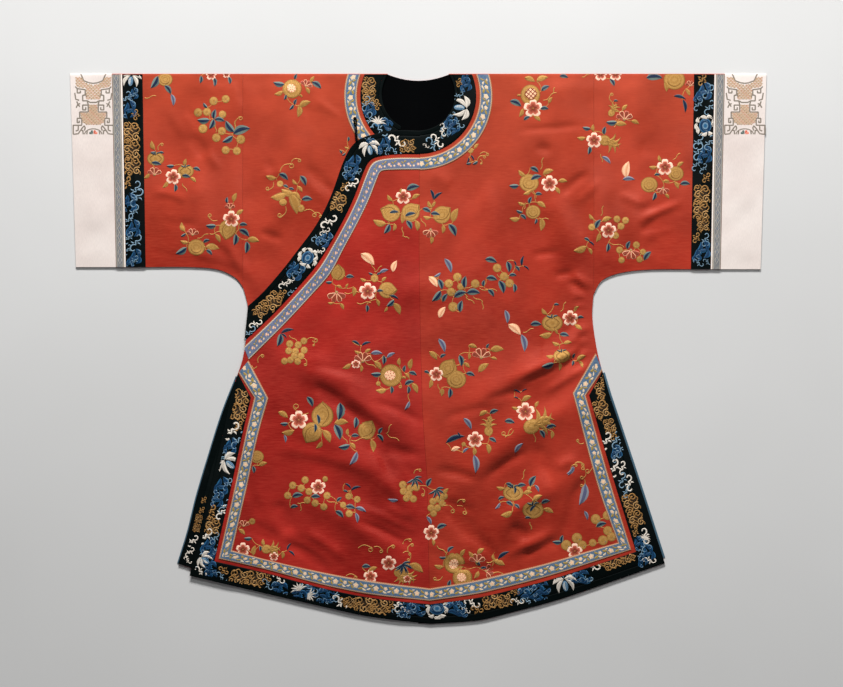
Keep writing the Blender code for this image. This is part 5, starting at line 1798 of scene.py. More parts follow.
def add_ribbon_work(materials):
    """Small woven flowers and leaves of the ribbons, and the sleeves' diamonds."""
    work = Work("ribbons", materials, band_top)
    for name, repeat, rows in RIBBONS:
        course = strip_course(name)
        length = course[0][-1]
        for k in range(int(length / repeat) + 1):
            for along, across, turn, size, kind, colour in rows:
                start = k * repeat + along + RIBBON_START
                if start > length - RIBBON_END:
                    continue
                place = within(on_course(course, start), 0.0, across, turn)
                if kind == "flower":
                    turns = full_turn(15)
                    radius = size * (0.84 + 0.16 * np.cos(5 * turns))
                    outline = pairs(radius * np.cos(turns), radius * np.sin(turns))
                    work.silk.patch(place, outline, [(1.0, colour), (0.45, colour), (0.24, PEACH)],
                                    rise=WOVEN_RISE)
                else:
                    pale = GOLD_PALE if colour == OLIVE else colour
                    work.silk.leaf(place, size, size * 0.5, (colour, pale, colour, colour, pale, colour),
                                   rise=WOVEN_RISE)
    for side in ("left", "right"):
        course = strip_course("sleeve_ribbon_" + side)
        for k in range(int(course[0][-1] / DIAMOND)):
            place = on_course(course, (k + 0.5) * DIAMOND)
            corners = np.array([(-DIAMOND / 2, 0.0), (0.0, -DIAMOND_HALF),
                                (DIAMOND / 2, 0.0), (0.0, DIAMOND_HALF)])
            work.silk.line(place, corners, 0.9, WHITE, WOVEN_RISE, closed=True)
            work.silk.patch(place, corners * 0.55, [(1.0, VIOLET if k % 2 else BLUE_GROUND),
                                                    (0.4, MIST)], rise=WOVEN_RISE)
    work.build()


# Key frets on the left half of a cuff's panel, in pixels from its middle line
# and from the shoulder fold; the right half is their mirror image
FRETS = [
    [(18, 12), (16, 14), (8, 15), (8, 20), (10.5, 20.5), (10.5, 25.5), (6, 25.5), (5, 29), (5, 36),
     (13.5, 36), (13.5, 41.5), (11.5, 42), (11.5, 48.5), (20, 48.5), (20, 57)],
    [(10.5, 20.5), (7.5, 19.5), (6.5, 22)],
    [(16, 14), (16, 18), (12.8, 18), (12.8, 15.8)],
    [(6, 25.5), (3, 27), (0, 27)],
    [(5, 29.5), (10.5, 29.5), (10.5, 34), (7.5, 34), (7.5, 31.5)],
    [(12, 42), (16, 42), (16, 46), (14, 46), (14, 44)],
    [(15, 48.5), (15, 53), (17.5, 54)],
    [(20, 57), (15, 56.5), (11, 51), (9, 49), (8, 51), (9, 53.5)],
    [(10, 57), (10.5, 53.5), (12.5, 53)],
    [(18.5, 18), (17.5, 24), (14, 25)],
    [(16.5, 26), (15, 29), (13.5, 31)], [(13, 28), (15.5, 29), (17, 32)],
    [(12.5, 0), (9.5, 6.5), (4, 8.5), (0, 9)],
    [(6, 54), (6.5, 57)],
]
DIAPERS = [
    [(-18, 3), (-11, 3), (-9, 8), (0, 11), (9, 8), (11, 3), (18, 3), (17, 12), (7, 14), (7, 24),
     (-7, 24), (-7, 14), (-17, 12)],
    [(-4, 29), (4, 29), (4.5, 36.5), (13, 36.5), (12, 41), (10.5, 46), (6, 48), (-6, 48),
     (-10.5, 46), (-12, 41), (-13, 36.5), (-4.5, 36.5)],
]
CUFF_COLUMNS = (93.5, 744.5)    # columns of the middles of the two panels
PANEL_FOOT = 57                 # row of a panel's lower edge, from the shoulder fold
FRET_GREY, DIAPER_TAN = (122, 112, 100), (184, 152, 124)
DIAPER_SEEDS = [(146, 124, 94), (176, 128, 106), (164, 140, 112)]
DIAPER_STEP = 4.6
DIAPER_THREAD, FRET_THREAD, ARCH_THREAD = 2.7, 3.6, 3.0     # widths
HALF_FLOWER = 8.6           # radius of the half flower at the foot of a panel
PANEL_STRETCH = 1.06


def inside_shape(shape, points):
    closed = np.concatenate([shape, shape[:1]])
    return inside(closed, points[:, 0], points[:, 1])


def hatch(stitching, place, shape, spacing, turn, width, colour):
    """Parallel threads over a shape."""
    c, s = direction(turn)
    reach = float(np.abs(shape).max()) * 1.5
    t = np.arange(-reach, reach, 0.5)
    for off in np.arange(-reach, reach, spacing):
        line = pairs(t * c - off * s, t * s + off * c)
        kept = inside_shape(shape, line)
        starts = np.flatnonzero(np.diff(np.concatenate([[False], kept, [False]]).astype(int)))
        for first, last in zip(starts[::2], starts[1::2]):
            if last - first > 3:
                ends = line[[first, (first + last) // 2, last - 1]]
                stitching.line(place, ends, width, colour, WOVEN_RISE)


def seed_diamonds(stitching, place, shape):
    """Small coloured diamonds between the crossed threads of a diaper ground."""
    step = DIAPER_STEP * math.sqrt(2)
    reach = int(np.abs(shape).max() / step * 2)
    for k in range(-reach, reach + 1):
        for j in range(-reach, reach + 1):
            middle = np.array([k * step / 2, j * step / 2])
            if (k + j) % 2 and inside_shape(shape, middle[None])[0]:
                colour = DIAPER_SEEDS[(k + 2 * j) % len(DIAPER_SEEDS)]
                stitching.patch(within(place, *middle), circle(2.3, 4),
                                [(1.0, colour), (0.5, colour)], rise=WOVEN_RISE)


def cuff_top(across, drop):
    return front_height(across, drop) + WALL


def add_cuff_work(materials):
    """Pale diaper ground with key frets and a small half flower on each cuff."""
    work = Work("cuffs", materials, cuff_top)
    for column in CUFF_COLUMNS:
        place = spot(*from_photo(column, PIXEL_FOLD))
        for shape in DIAPERS:
            outline = np.array(shape, dtype=float) * (PIXEL, PIXEL * PANEL_STRETCH)
            middle = outline.mean(axis=0)
            here = within(place, *middle)
            for turn in (45, -45):
                hatch(work.silk, here, outline - middle, DIAPER_STEP, turn, DIAPER_THREAD,
                      DIAPER_TAN)
            seed_diamonds(work.silk, here, outline - middle)
        for fret in FRETS:
            for sign in (-1, 1):
                path = np.array(fret, dtype=float) * (sign * PIXEL, PIXEL * PANEL_STRETCH)
                steps = [resample(path[k:k + 2], 4) for k in range(len(path) - 1)]
                work.silk.line(place, np.concatenate(steps), FRET_THREAD, FRET_GREY,
                               WOVEN_RISE)
        rim = within(place, 0.0, PANEL_FOOT * PIXEL * PANEL_STRETCH)
        turns = np.radians(np.linspace(180.0, 360.0, 15))
        arch = pairs(1.9 * np.cos(turns), 1.2 * np.sin(turns)) * HALF_FLOWER
        work.silk.line(rim, arch, ARCH_THREAD, FRET_GREY, WOVEN_RISE)
        for turn, colour in ((-158, TEAL), (-116, TEAL), (-64, ROSE), (-22, SALMON)):
            work.silk.patch(within(rim, 0.0, 0.0, turn), petal(1.1 * HALF_FLOWER, 24.0),
                            [(1.0, colour), (0.4, colour)], middle=(0.55 * HALF_FLOWER, 0.0))
    work.build()


# Sprays, read off enlarged parts of the photograph: left column and top row of
# the part, its enlargement, and for each kind of motif rows of column, row,
# direction in degrees clockwise from the right, and length or radius
Area = namedtuple("Area", "left top zoom motifs")
AREAS = [
    Area(330, 130, 10.0, {
        "blue": [(182, 92, 100, 50), (108, 222, 60, 45), (138, 244, 150, 42)],
        "gold": [(168, 178, 200, 48)],
    }),
    Area(460, 140, 10.0, {
        "berry": [(105, 105, 0, 32)],
        "navy": [(78, 205, 110, 62), (122, 182, 60, 66)],
        "blue": [(152, 228, 150, 60), (85, 235, 170, 50)],
        "gold": [(165, 65, -50, 70), (70, 90, -120, 50)],
        "curl": [(175, 200, -35, 95)],
    }),
    Area(145, 74, 7.84, {
        "berry": [
            (540, 215, 0, 36), (635, 200, 20, 34), (418, 305, 90, 36), (488, 300, 0, 34),
            (610, 320, 40, 32), (457, 432, 200, 38), (605, 450, 0, 34), (562, 503, 60, 36),
            (752, 515, 90, 38), (635, 600, 0, 34), (722, 605, 45, 34), (1060, 862, 0, 28),
            (1222, 1055, 200, 32),
        ],
        "blue": [
            (550, 318, -80, 80), (460, 362, 180, 100), (588, 365, 10, 80), (525, 395, 115, 85),
            (668, 412, -127, 110), (760, 450, -18, 140), (650, 512, 150, 95), (475, 248, -130, 50),
            (75, 65, 120, 110), (180, 125, 55, 85), (437, 45, 95, 60), (545, 65, 85, 70), (662, 52, 80, 60),
            (1050, 75, 190, 90), (1345, 90, 35, 90), (1185, 22, -70, 50), (1100, 185, 110, 45),
            (1182, 222, -70, 50), (1150, 262, 130, 50), (65, 615, 180, 42), (130, 620, 0, 42),
            (200, 720, 180, 60), (408, 750, 20, 60), (238, 895, 95, 60), (325, 805, 10, 70),
            (90, 705, 10, 80), (285, 1385, 150, 100), (485, 1312, -20, 55), (505, 1400, 40, 60),
            (303, 1262, 150, 45), (520, 1190, 180, 80), (775, 1185, 0, 62), (780, 1248, 35, 95),
            (708, 1300, 100, 90), (795, 1360, 95, 95), (648, 990, -90, 50), (1088, 808, 35, 85),
            (1240, 838, 60, 90), (1272, 985, 0, 85), (1105, 885, 20, 45), (1150, 905, 10, 45),
        ],
        "violet": [(215, 205, 80, 95)],
        "gold": [
            (1050, 150, 160, 75), (1275, 135, 60, 60), (1255, 240, -25, 100), (1205, 295, 95, 95),
            (1315, 45, -60, 60), (65, 560, -110, 75), (15, 800, 140, 60), (320, 695, -80, 62),
            (160, 868, 130, 65), (380, 832, 40, 60), (300, 1200, -110, 80), (310, 1315, 190, 65),
            (530, 1365, 5, 110), (710, 970, -70, 75), (750, 1090, -40, 70), (572, 1290, 60, 75),
            (850, 1308, 5, 100), (990, 810, 190, 85), (1175, 848, -130, 55), (1215, 905, 50, 60),
            (1050, 955, 165, 130), (1120, 925, 200, 110), (1165, 1020, 70, 170), (1185, 960, 40, 90),
        ],
        "bloom": [(222, 808, 10, 64), (680, 1140, 0, 70), (520, 8, 0, 45), (640, 4, 0, 32)],
        "open": [(1265, 85, 20, 46), (75, 775, 0, 52), (375, 1250, 0, 46), (668, 1045, 0, 38)],
        "round": [(160, 45, 0, 60), (405, 1360, 0, 72), (1085, 1008, 0, 32)],
        "wide": [(85, 665, 0, 70), (320, 765, 0, 68)],
        "tipped": [(650, 1215, 100, 78)],
        "seeded": [(1155, 118, 40, 78)],
        "twig": [
            (0, 190, -10, 90), (555, 400, 85, 60), (700, 445, -80, 80), (500, 1258, 160, 90),
            (295, 860, 60, 70), (600, 1240, 170, 90),
        ],
        "curl": [
            (105, 600, -70, 70), (715, 420, -75, 100), (570, 1150, 200, 90), (1060, 770, -40, 130),
            (1150, 690, -20, 80), (1010, 850, 120, 90), (1105, 1040, 110, 110), (1250, 1075, 10, 110),
            (1330, 1090, 20, 70),
        ],
    }),
    Area(255, 240, 8.711, {
        "berry": [
            (305, 905, 0, 34), (378, 915, 0, 34), (428, 880, 0, 32), (297, 965, 0, 33), (355, 968, 0, 33),
            (430, 960, 0, 33), (345, 1010, 0, 33), (403, 1010, 0, 33), (312, 1045, 0, 32),
            (375, 1058, 0, 32), (260, 1055, 0, 32), (1042, 335, 0, 36), (1075, 1250, 0, 22),
        ],
        "blue": [
            (828, 323, 0, 72), (645, 368, 180, 55), (1092, 447, 0, 60), (975, 597, 90, 65),
            (1180, 550, 140, 85), (1008, 293, 200, 40), (1080, 297, -20, 40), (212, 870, 105, 115),
            (1120, 1045, 90, 80), (1055, 1165, 180, 90), (1305, 1120, -80, 60), (1375, 1165, 20, 72),
            (1345, 1245, -20, 85), (1188, 1305, 90, 65), (1335, 1305, 95, 65),
        ],
        "navy": [
            (285, 795, -15, 115), (255, 835, 40, 60), (1210, 500, 20, 85), (880, 900, 30, 85),
            (970, 905, -20, 85),
        ],
        "violet": [(1125, 275, -20, 85), (1060, 990, 0, 105), (1185, 1005, -30, 85), (1325, 1440, 120, 85)],
        "peach": [(980, 170, 40, 155), (1218, 230, -70, 105)],
        "gold": [
            (735, 410, 20, 55), (805, 400, -60, 45), (860, 450, 90, 85), (660, 548, 180, 50),
            (757, 580, 60, 65), (945, 345, 200, 60), (1127, 345, -45, 60), (1070, 550, 70, 65),
            (1140, 605, 120, 50), (1235, 600, 60, 115), (895, 975, 200, 60), (985, 968, -30, 62),
            (800, 1098, 150, 85), (925, 1120, 90, 60), (1070, 1095, 50, 95), (1260, 1060, -90, 70),
            (1360, 1080, -80, 95), (1100, 1305, 175, 95), (1390, 1290, 60, 100), (1325, 1185, 50, 60),
        ],
        "bloom": [(983, 447, 0, 80), (880, 1080, 0, 42)],
        "open": [(712, 480, 180, 76), (940, 1035, 0, 72)],
        "tipped": [(725, 290, -90, 70), (1150, 438, 0, 80)],
        "seeded": [(1185, 1180, 10, 102)],
        "twig": [
            (1045, 280, -110, 80), (1045, 280, -40, 80), (890, 550, 0, 120), (780, 460, 0, 130),
            (1340, 1340, 90, 90), (960, 1060, 30, 110), (300, 830, 40, 90),
        ],
        "curl": [
            (445, 880, -15, 110), (500, 880, 60, 50), (425, 1030, 60, 75), (30, 1070, -70, 90),
            (20, 1100, 160, 60), (1225, 1225, 40, 85),
        ],
    }),
    Area(370, 170, 8.2526, {
        "berry": [
            (720, 885, 0, 38), (650, 938, 0, 38), (868, 940, 0, 38), (668, 1008, 0, 38), (748, 965, 0, 32),
            (1048, 810, 0, 38), (1105, 880, 0, 38), (1150, 935, 0, 38), (685, 1130, 0, 42),
        ],
        "blue": [
            (200, 353, -5, 78), (335, 370, -15, 92), (355, 150, -15, 112), (140, 487, 120, 90),
            (322, 455, 60, 85), (467, 335, 25, 78), (540, 367, 10, 80), (678, 497, 60, 115),
            (997, 750, 15, 100), (1138, 800, 80, 92), (1215, 815, 50, 55), (1178, 870, 0, 62),
            (1003, 900, 10, 92), (1083, 965, 70, 112), (1190, 975, 90, 72), (940, 935, -80, 58),
            (785, 925, -85, 100), (745, 1030, -20, 112), (852, 1015, 0, 112), (997, 1015, 50, 78),
            (578, 945, 70, 92), (548, 1040, 130, 112), (620, 1055, -60, 80), (752, 1125, -80, 100),
        ],
        "navy": [
            (510, 205, 75, 90), (562, 215, -40, 92), (1260, 750, -80, 85), (1290, 810, 40, 55),
            (1195, 775, 70, 50),
        ],
        "violet": [(642, 790, 65, 130), (555, 865, 150, 65)],
        "peach": [(520, 925, 50, 110), (597, 1175, -60, 105)],
        "gold": [
            (260, 175, -90, 50), (165, 232, -130, 68), (380, 222, -30, 75), (80, 430, 195, 115),
            (200, 475, 100, 62), (385, 460, 80, 90), (265, 400, 90, 90), (495, 285, -120, 68),
            (530, 285, -60, 55), (470, 390, 190, 68), (705, 375, -70, 125), (600, 490, 90, 70),
            (505, 580, 90, 65),
        ],
        "bloom": [(275, 222, 0, 66)],
        "open": [(500, 512, 180, 60)],
        "tipped": [(175, 355, -160, 84), (335, 350, -40, 84), (592, 372, -40, 82)],
        "twig": [
            (270, 470, 90, 80), (270, 540, 30, 60), (790, 1045, 40, 90), (850, 1045, 30, 90),
            (930, 1080, 90, 70), (900, 975, 10, 150), (700, 990, 30, 120), (1050, 860, 60, 60),
            (420, 400, 60, 80),
        ],
    }),
    Area(480, 74, 7.4667, {
        "berry": [
            (1020, 1085, 0, 28), (1083, 1095, 0, 28), (1050, 1138, 0, 28), (1010, 1208, 0, 28),
            (832, 1145, 0, 28), (1040, 1315, 0, 28), (1165, 1278, 0, 28), (1215, 1330, 0, 26),
            (1190, 1385, 0, 26), (1055, 1390, 0, 26),
        ],
        "blue": [
            (265, 222, 25, 95), (487, 110, -30, 72), (350, 332, -30, 55), (480, 262, 0, 62),
            (985, 65, 60, 65), (625, 22, 10, 65), (1300, 30, 0, 120), (793, 405, 190, 62),
            (930, 425, -80, 62), (812, 572, 100, 62), (980, 362, 180, 82), (1322, 755, 0, 45),
            (1530, 822, 0, 75), (1298, 915, 110, 62), (405, 718, 30, 72), (418, 778, -20, 85),
            (252, 835, 180, 72), (437, 900, 0, 52), (375, 943, -70, 55), (293, 1028, 200, 50),
            (322, 1070, 40, 55), (880, 1122, -60, 78), (950, 1298, 100, 65), (795, 1240, 30, 50),
            (1108, 1278, -70, 65), (1250, 1358, -50, 85), (1012, 205, 0, 34), (415, 1102, 110, 40),
        ],
        "navy": [(1490, 178, 15, 95), (1522, 240, 80, 100), (830, 1268, 40, 50)],
        "violet": [(940, 645, 40, 85), (1108, 790, 0, 92)],
        "peach": [(1098, 715, -80, 125)],
        "gold": [
            (370, 45, 20, 85), (465, 40, -20, 92), (525, 200, -60, 55), (305, 292, 110, 65),
            (425, 335, 40, 65), (1385, 95, 80, 78), (755, 478, 180, 65), (845, 405, -90, 55),
            (1080, 255, -50, 60), (1155, 365, 20, 65), (1050, 380, 0, 85), (1290, 695, 180, 62),
            (1343, 632, -110, 55), (1495, 678, -40, 62), (1390, 805, 0, 52), (1465, 832, 60, 62),
            (1395, 915, 50, 48), (312, 742, -140, 68), (508, 735, -20, 85), (617, 803, 0, 68),
            (575, 873, 50, 62), (350, 885, 150, 65), (307, 968, -160, 55), (455, 980, 30, 78),
            (258, 1080, 180, 78), (455, 1125, 90, 95), (945, 1090, -20, 80), (830, 1068, -130, 55),
            (878, 1222, 110, 72), (745, 1305, 160, 105), (820, 1325, 60, 55), (1550, 140, 60, 60),
        ],
        "bloom": [
            (395, 258, 0, 74), (900, 4, 0, 52), (1010, 4, 0, 52), (850, 497, 0, 62), (1380, 697, 0, 65),
            (517, 820, 0, 65), (957, 1170, 0, 62),
        ],
        "open": [(1075, 325, 0, 58), (1365, 865, 180, 44), (1125, 1335, 180, 60), (1568, 80, 0, 36)],
        "round": [
            (1450, 45, 0, 84), (1460, 745, 0, 62), (1262, 828, 0, 66), (365, 815, 0, 76),
            (395, 1032, 0, 58),
        ],
        "lattice": [(375, 158, 0, 76)],
        "hand": [(960, 510, 20, 95), (990, 275, -60, 62)],
        "twig": [
            (470, 200, -30, 115), (540, 150, -70, 50), (1000, 400, -70, 60), (900, 600, 80, 60),
            (1440, 640, -40, 72), (450, 715, -75, 90), (330, 1010, -80, 50), (440, 1075, 10, 70),
            (900, 1060, -75, 75), (960, 1255, 20, 120), (760, 25, -20, 60), (390, 850, 70, 80),
        ],
        "curl": [(0, 600, -10, 70), (0, 640, 60, 40), (980, 210, -100, 70)],
    }),
    Area(420, 300, 8.2526, {
        "berry": [(360, 1190, 0, 20), (575, 978, 0, 22)],
        "blue": [
            (955, 203, 0, 92), (1190, 290, 10, 78), (1325, 145, 0, 52), (1125, 40, 0, 45),
            (1050, 535, 165, 105), (1270, 462, -70, 45), (1258, 520, 100, 45), (190, 462, -30, 55),
            (333, 500, 80, 95), (415, 615, 15, 75), (243, 768, 95, 82), (55, 597, 20, 48),
            (560, 380, -60, 45), (738, 1005, 10, 85), (1080, 1045, -10, 85), (1005, 1105, 60, 78),
            (610, 922, -20, 75), (598, 1155, 30, 68),
        ],
        "navy": [
            (800, 755, 25, 65), (860, 745, -30, 45), (795, 808, 20, 40), (290, 1150, -20, 165),
            (320, 1118, 70, 60),
        ],
        "violet": [
            (710, 138, 80, 112), (848, 355, 80, 145), (178, 375, 65, 125), (815, 1220, -50, 105),
            (390, 1020, 55, 115), (378, 1240, -40, 62), (450, 1350, 85, 150), (1240, 1405, 140, 85),
        ],
        "peach": [(778, 245, 40, 135), (295, 1230, -20, 78)],
        "gold": [
            (1025, 95, -130, 68), (1290, 75, -50, 65), (1305, 228, 30, 72), (1035, 285, 170, 105),
            (1120, 262, 60, 50), (1120, 358, -160, 68), (1215, 355, -10, 68), (1070, 462, 180, 65),
            (1150, 550, 90, 65), (1330, 480, -30, 85), (1325, 530, 60, 65), (108, 460, 45, 95),
            (85, 690, 100, 75), (178, 760, 90, 70), (435, 385, 15, 75), (635, 412, -5, 115),
            (610, 485, 15, 55), (525, 560, -40, 110), (385, 540, 40, 65), (403, 465, 90, 55),
            (785, 888, 190, 60), (880, 815, -30, 90), (965, 860, -60, 58), (1085, 1110, 90, 68),
            (525, 935, -30, 78), (560, 1225, 80, 85), (445, 1250, 90, 68),
        ],
        "bloom": [(1238, 150, 0, 68), (135, 612, 0, 62), (868, 920, 0, 80), (455, 1150, 0, 70)],
        "open": [(505, 455, 0, 72)],
        "tipped": [(230, 570, -60, 84)],
        "round": [(300, 655, 0, 84)],
        "wide": [(1090, 190, 0, 90), (1168, 462, 0, 74)],
        "hand": [(965, 1020, -25, 150), (565, 1050, -90, 88)],
        "twig": [
            (850, 268, -20, 90), (1160, 95, -60, 90), (150, 690, 80, 80), (300, 540, -30, 90),
            (700, 1130, -50, 90), (940, 1080, 85, 90),
        ],
        "curl": [
            (770, 1075, 150, 110), (1350, 1180, 190, 70), (1240, 1395, -50, 70), (1290, 1340, 30, 90),
            (1360, 1400, 100, 90),
        ],
    }),
    Area(230, 390, 8.2526, {
        "berry": [
            (520, 785, 0, 33), (622, 740, 0, 32), (590, 808, 0, 33), (655, 835, 0, 32), (478, 868, 0, 32),
            (640, 905, 0, 32), (705, 930, 0, 32), (803, 868, 0, 32), (777, 960, 0, 32), (787, 732, 0, 25),
            (980, 875, 0, 30), (1050, 900, 0, 30), (985, 1015, 0, 32), (935, 945, 0, 28),
            (185, 1082, 0, 28),
        ],
        "blue": [
            (728, 240, 80, 82), (703, 312, 90, 72), (660, 95, 60, 95), (902, 175, 95, 145),
            (888, 345, 70, 135), (450, 275, 180, 65), (945, 460, 170, 95), (1035, 268, 95, 92),
            (1035, 378, 0, 65), (1245, 335, -60, 62), (1240, 395, 50, 75), (195, 655, 80, 62),
            (560, 870, -10, 92), (710, 878, 0, 78), (533, 962, -10, 65), (905, 900, -40, 55),
            (995, 965, 10, 82), (905, 1020, 40, 85), (955, 835, 20, 40), (150, 1220, 180, 65),
            (250, 1305, 90, 45), (1125, 1455, 0, 72),
        ],
        "navy": [(975, 790, 40, 65), (1040, 810, -20, 85), (490, 1290, -60, 65), (510, 1345, 40, 65)],
        "violet": [
            (455, 400, 80, 65), (1020, 560, 120, 125), (1080, 985, 20, 95), (1045, 1050, 80, 85),
            (1345, 900, 185, 85),
        ],
        "gold": [
            (440, 205, 30, 95), (480, 342, 170, 105), (920, 270, -5, 115), (800, 380, 60, 120),
            (738, 450, 130, 78), (1015, 460, 50, 65), (1175, 460, 80, 105), (975, 345, -90, 58),
            (275, 612, -20, 75), (100, 1170, 40, 70), (205, 1320, -80, 85), (280, 1255, -100, 60),
            (435, 1360, 90, 60), (1180, 1480, -30, 85),
        ],
        "bloom": [
            (570, 245, 0, 80), (730, 797, 0, 65), (110, 1312, 0, 60), (365, 1370, 0, 40),
            (1310, 1425, 0, 66), (1160, 1535, 0, 60),
        ],
        "open": [(115, 1108, 0, 44)],
        "round": [(225, 550, 0, 60)],
        "tipped": [(765, 212, -90, 102), (680, 345, 120, 90), (1130, 332, -60, 84)],
        "hand": [(335, 1310, 0, 90), (1400, 1530, 60, 80)],
        "star": [(1420, 1440, 40, 95)],
        "twig": [
            (930, 375, 55, 70), (1000, 412, -5, 130), (1290, 360, -60, 90), (1300, 365, 30, 110),
            (590, 930, 95, 65), (800, 905, 20, 95), (560, 930, 0, 60), (1000, 830, 80, 60),
            (940, 980, -40, 60),
        ],
        "curl": [
            (650, 190, -165, 150), (1060, 1300, -5, 130), (1190, 1290, 20, 90), (1300, 1340, -60, 90),
            (1430, 1340, 0, 70), (1470, 1330, -70, 80), (960, 1530, 0, 100),
        ],
    }),
    Area(400, 400, 6.8174, {
        "berry": [
            (20, 575, 0, 28), (70, 600, 0, 28), (25, 618, 0, 27), (60, 640, 0, 27), (45, 665, 0, 26),
            (92, 672, 0, 26), (112, 595, 0, 27), (225, 690, 0, 27), (212, 735, 0, 27), (228, 772, 0, 25),
            (265, 675, 0, 27), (288, 700, 0, 27), (255, 735, 0, 26), (300, 655, 0, 27), (1205, 940, 0, 38),
            (1240, 988, 0, 34), (1132, 988, 0, 38), (1332, 810, 0, 36), (1412, 785, 0, 34),
            (1415, 890, 0, 34), (1440, 930, 0, 34), (1382, 955, 0, 36), (1312, 972, 0, 28),
            (878, 600, 0, 16),
        ],
        "blue": [
            (200, 560, -60, 65), (745, 580, 30, 55), (780, 612, 90, 52), (828, 582, -10, 60),
            (905, 550, -60, 82), (690, 668, -20, 45), (745, 705, 30, 55), (795, 722, 40, 45),
            (905, 735, -50, 60), (990, 692, -15, 62), (285, 862, -20, 72), (345, 1015, -40, 55),
            (290, 1070, 180, 45), (340, 1250, -80, 55), (530, 1115, 40, 45), (570, 1145, 0, 45),
            (1370, 850, -20, 75), (1070, 965, 180, 65), (1105, 945, -80, 55), (870, 800, 0, 40),
        ],
        "navy": [(705, 1058, -35, 95)],
        "violet": [
            (930, 600, 60, 55), (665, 720, 130, 55), (197, 820, 60, 65), (1160, 480, 120, 72),
            (1240, 640, 105, 155), (1265, 785, 70, 65),
        ],
        "gold": [
            (685, 597, 190, 58), (870, 630, -10, 62), (935, 665, -30, 75), (725, 770, 160, 85),
            (1010, 755, 20, 75), (430, 1040, -60, 58), (265, 1130, 190, 65), (490, 1050, -140, 62),
            (550, 1030, -40, 62), (645, 1065, -90, 62), (675, 1110, 20, 82), (520, 1190, 120, 60),
            (110, 1145, 30, 110), (225, 970, 80, 45), (312, 625, -50, 60),
        ],
        "bloom": [(213, 903, 0, 56), (1190, 1028, 0, 56), (50, 1215, 0, 30)],
        "open": [(525, 1088, 0, 52), (600, 1165, 90, 46)],
        "wide": [(770, 630, 0, 72), (905, 748, 0, 76)],
        "seeded": [(370, 1110, -50, 74), (425, 1210, 20, 70)],
        "hand": [(50, 1190, 40, 70)],
        "star": [(95, 535, 50, 72), (245, 610, 50, 72), (15, 1115, 50, 72)],
        "twig": [
            (830, 540, -70, 70), (885, 830, 80, 50), (250, 990, 40, 80), (440, 1140, 5, 110),
            (590, 1105, -10, 80), (890, 660, 40, 60),
        ],
        "curl": [
            (95, 500, -40, 60), (150, 600, 70, 60), (300, 720, 20, 90), (390, 700, -30, 60),
            (390, 720, 30, 90), (290, 1200, 150, 70), (1190, 430, 0, 70), (1300, 410, 95, 100),
            (1255, 540, 100, 60), (20, 980, -40, 70), (60, 1040, 80, 60), (620, 1190, 0, 120),
        ],
    }),
]


# Stems, in millimetres
SHORTEST_STEM, LONGEST_STEM = 3.0, 24.0
THIN_STEM = 1.7
STEM_RISE = 0.36            # stems pass under fruit and leaves


def add_stems(work, knots):
    """Thin gold stems that tie each spray together by the shortest ways."""
    knots = np.array(knots)
    left = list(range(1, len(knots)))
    joined = [0]
    while left:
        gaps = np.linalg.norm(knots[left][:, None] - knots[joined][None], axis=2)
        row, column = np.unravel_index(int(gaps.argmin()), gaps.shape)
        start, end = knots[joined[column]], knots[left[row]]
        if SHORTEST_STEM < gaps[row, column] < LONGEST_STEM:
            t = np.linspace(0.0, 1.0, 6)[:, None]
            side = np.array([start[1] - end[1], end[0] - start[0]])
            path = start + (end - start) * t + side * 0.5 * t * (1 - t)
            work.gold.line(spot(0.0, 0.0), path, THIN_STEM, GOLD_PALE, STEM_RISE)
        joined.append(left.pop(row))


def add_sprays(materials):
    """Flowers, fruit and leaves scattered over the red satin."""
    work = Work("sprays", materials, garment_top)
    for area in AREAS:
        knots = []
        for kind, draw in MOTIFS.items():
            work.silk.lift = RAISED.get(kind, 0.0)
            for column, row, turn, size in area.motifs.get(kind, ()):
                across, drop = from_photo(area.left + column / area.zoom,
                                          area.top + row / area.zoom)
                size = size / area.zoom * PIXEL
                draw(work, spot(across, drop, turn), size)
                if kind not in ("twig", "curl"):
                    back = size / 2 if kind in LEAF_COLOURS else 0.0
                    c, s = direction(turn)
                    knots.append((across - back * c, drop - back * s))
        add_stems(work, knots)
    work.build()


# Stage

FLOOR_HALF = 6.0            # metres
FLOOR_GAP = 0.0005


def add_floor():
    n = Nodes("pale_floor")
    tone = n.noise(1.5, 3.0)
    colour = n.ramp(tone, (0.3, (0.53, 0.525, 0.515, 1.0)), (0.7, (0.57, 0.565, 0.555, 1.0)))
    n.link(colour, n.shader.inputs["Base Color"])
    n.set(Roughness=0.8)
    corners = ((-1, -1), (1, -1), (1, 1), (-1, 1))
    points = [(x * FLOOR_HALF, y * FLOOR_HALF, 0.0) for x, y in corners]
    floor = mesh_object("floor", points, [(0, 1, 2, 3)], n.material, smooth=False)
    floor.location.z = cad_box[0].z - FLOOR_GAP


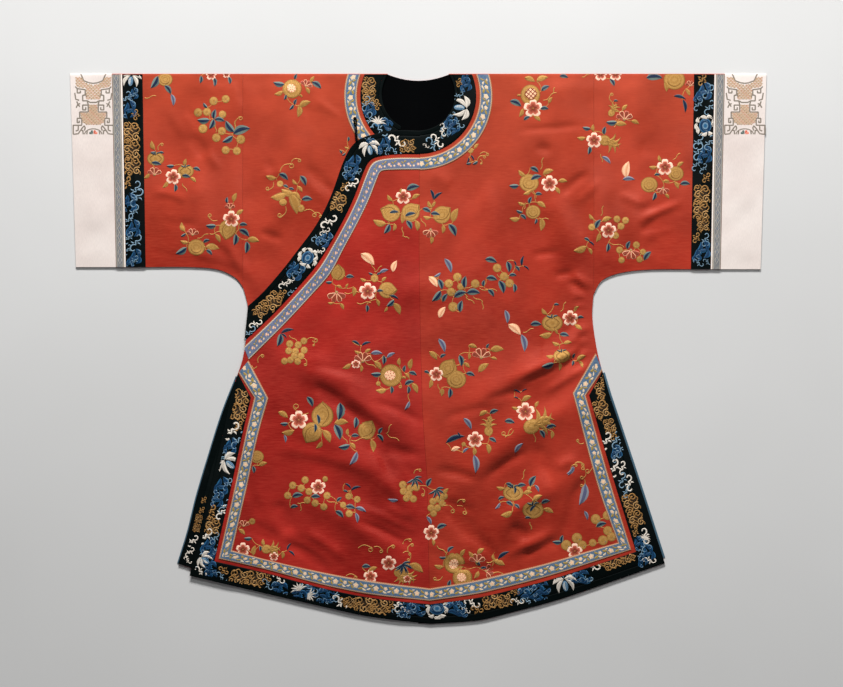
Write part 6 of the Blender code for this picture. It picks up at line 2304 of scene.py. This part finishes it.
# Places and sizes in metres, power in watts
Lamp = namedtuple("Lamp", "name place aim size power")
LAMPS = [
    Lamp("key", (-0.3, 4.05, 2.25), (0.0, 0.0, 0.0), (1.8, 0.75), 392.0),
    Lamp("sheen", (0.9, 1.5, 2.6), (0.0, 0.1, 0.0), (1.0, 0.5), 24.0),
    Lamp("fill", (1.2, -2.8, 2.2), (0.0, 0.0, 0.0), (2.5, 1.5), 6.0),
]
SKY_COLOUR = (0.9, 0.95, 1.0, 1.0)
SKY_STRENGTH = 0.1
CLIP_END = 50.0             # metres


def add_light(lamp):
    light = bpy.data.lights.new(lamp.name, "AREA")
    light.shape = "RECTANGLE"
    light.size, light.size_y = lamp.size
    light.energy = lamp.power
    item = bpy.data.objects.new(lamp.name, light)
    bpy.context.scene.collection.objects.link(item)
    item.location = lamp.place
    item.rotation_mode = "QUATERNION"
    beam = Vector(lamp.aim) - Vector(lamp.place)
    item.rotation_quaternion = beam.to_track_quat("-Z", "Y")


def add_lights():
    for lamp in LAMPS:
        add_light(lamp)
    world = bpy.data.worlds.new("studio")
    world.use_nodes = True
    background = world.node_tree.nodes["Background"]
    background.inputs["Color"].default_value = SKY_COLOUR
    background.inputs["Strength"].default_value = SKY_STRENGTH
    bpy.context.scene.world = world
    bpy.context.scene.view_settings.view_transform = "Standard"


def add_camera():
    camera = bpy.data.objects.new("camera", bpy.data.cameras.new("camera"))
    bpy.context.scene.collection.objects.link(camera)
    camera.data.lens = LENS
    camera.data.sensor_width = SENSOR
    field = PHOTO_WIDTH * PIXEL * MM
    across, drop = from_photo(*PHOTO_CENTRE)
    camera.location = (across * MM, (FOLD_Y - drop) * MM, field * LENS / SENSOR)
    camera.data.clip_end = CLIP_END
    bpy.context.scene.camera = camera


def finish_button(materials):
    for name in ("button_knot", "button_loop"):
        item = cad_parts[name]
        item.data.materials.clear()
        item.data.materials.append(materials["binding"])


def main():
    materials = make_materials()
    add_camera()
    add_lights()
    add_floor()
    add_body_left(materials)
    add_body_right(materials)
    add_front_overlap(materials)
    add_sleeve_trim(materials)
    add_sleeves(materials)
    add_neck_trim(materials)
    add_flap_trim(materials)
    add_skirt_trim(materials)
    add_underlap_trim(materials)
    add_lining_edges(materials)
    finish_button(materials)
    add_sprays(materials)
    add_band_work(materials)
    add_ribbon_work(materials)
    add_cuff_work(materials)


main()
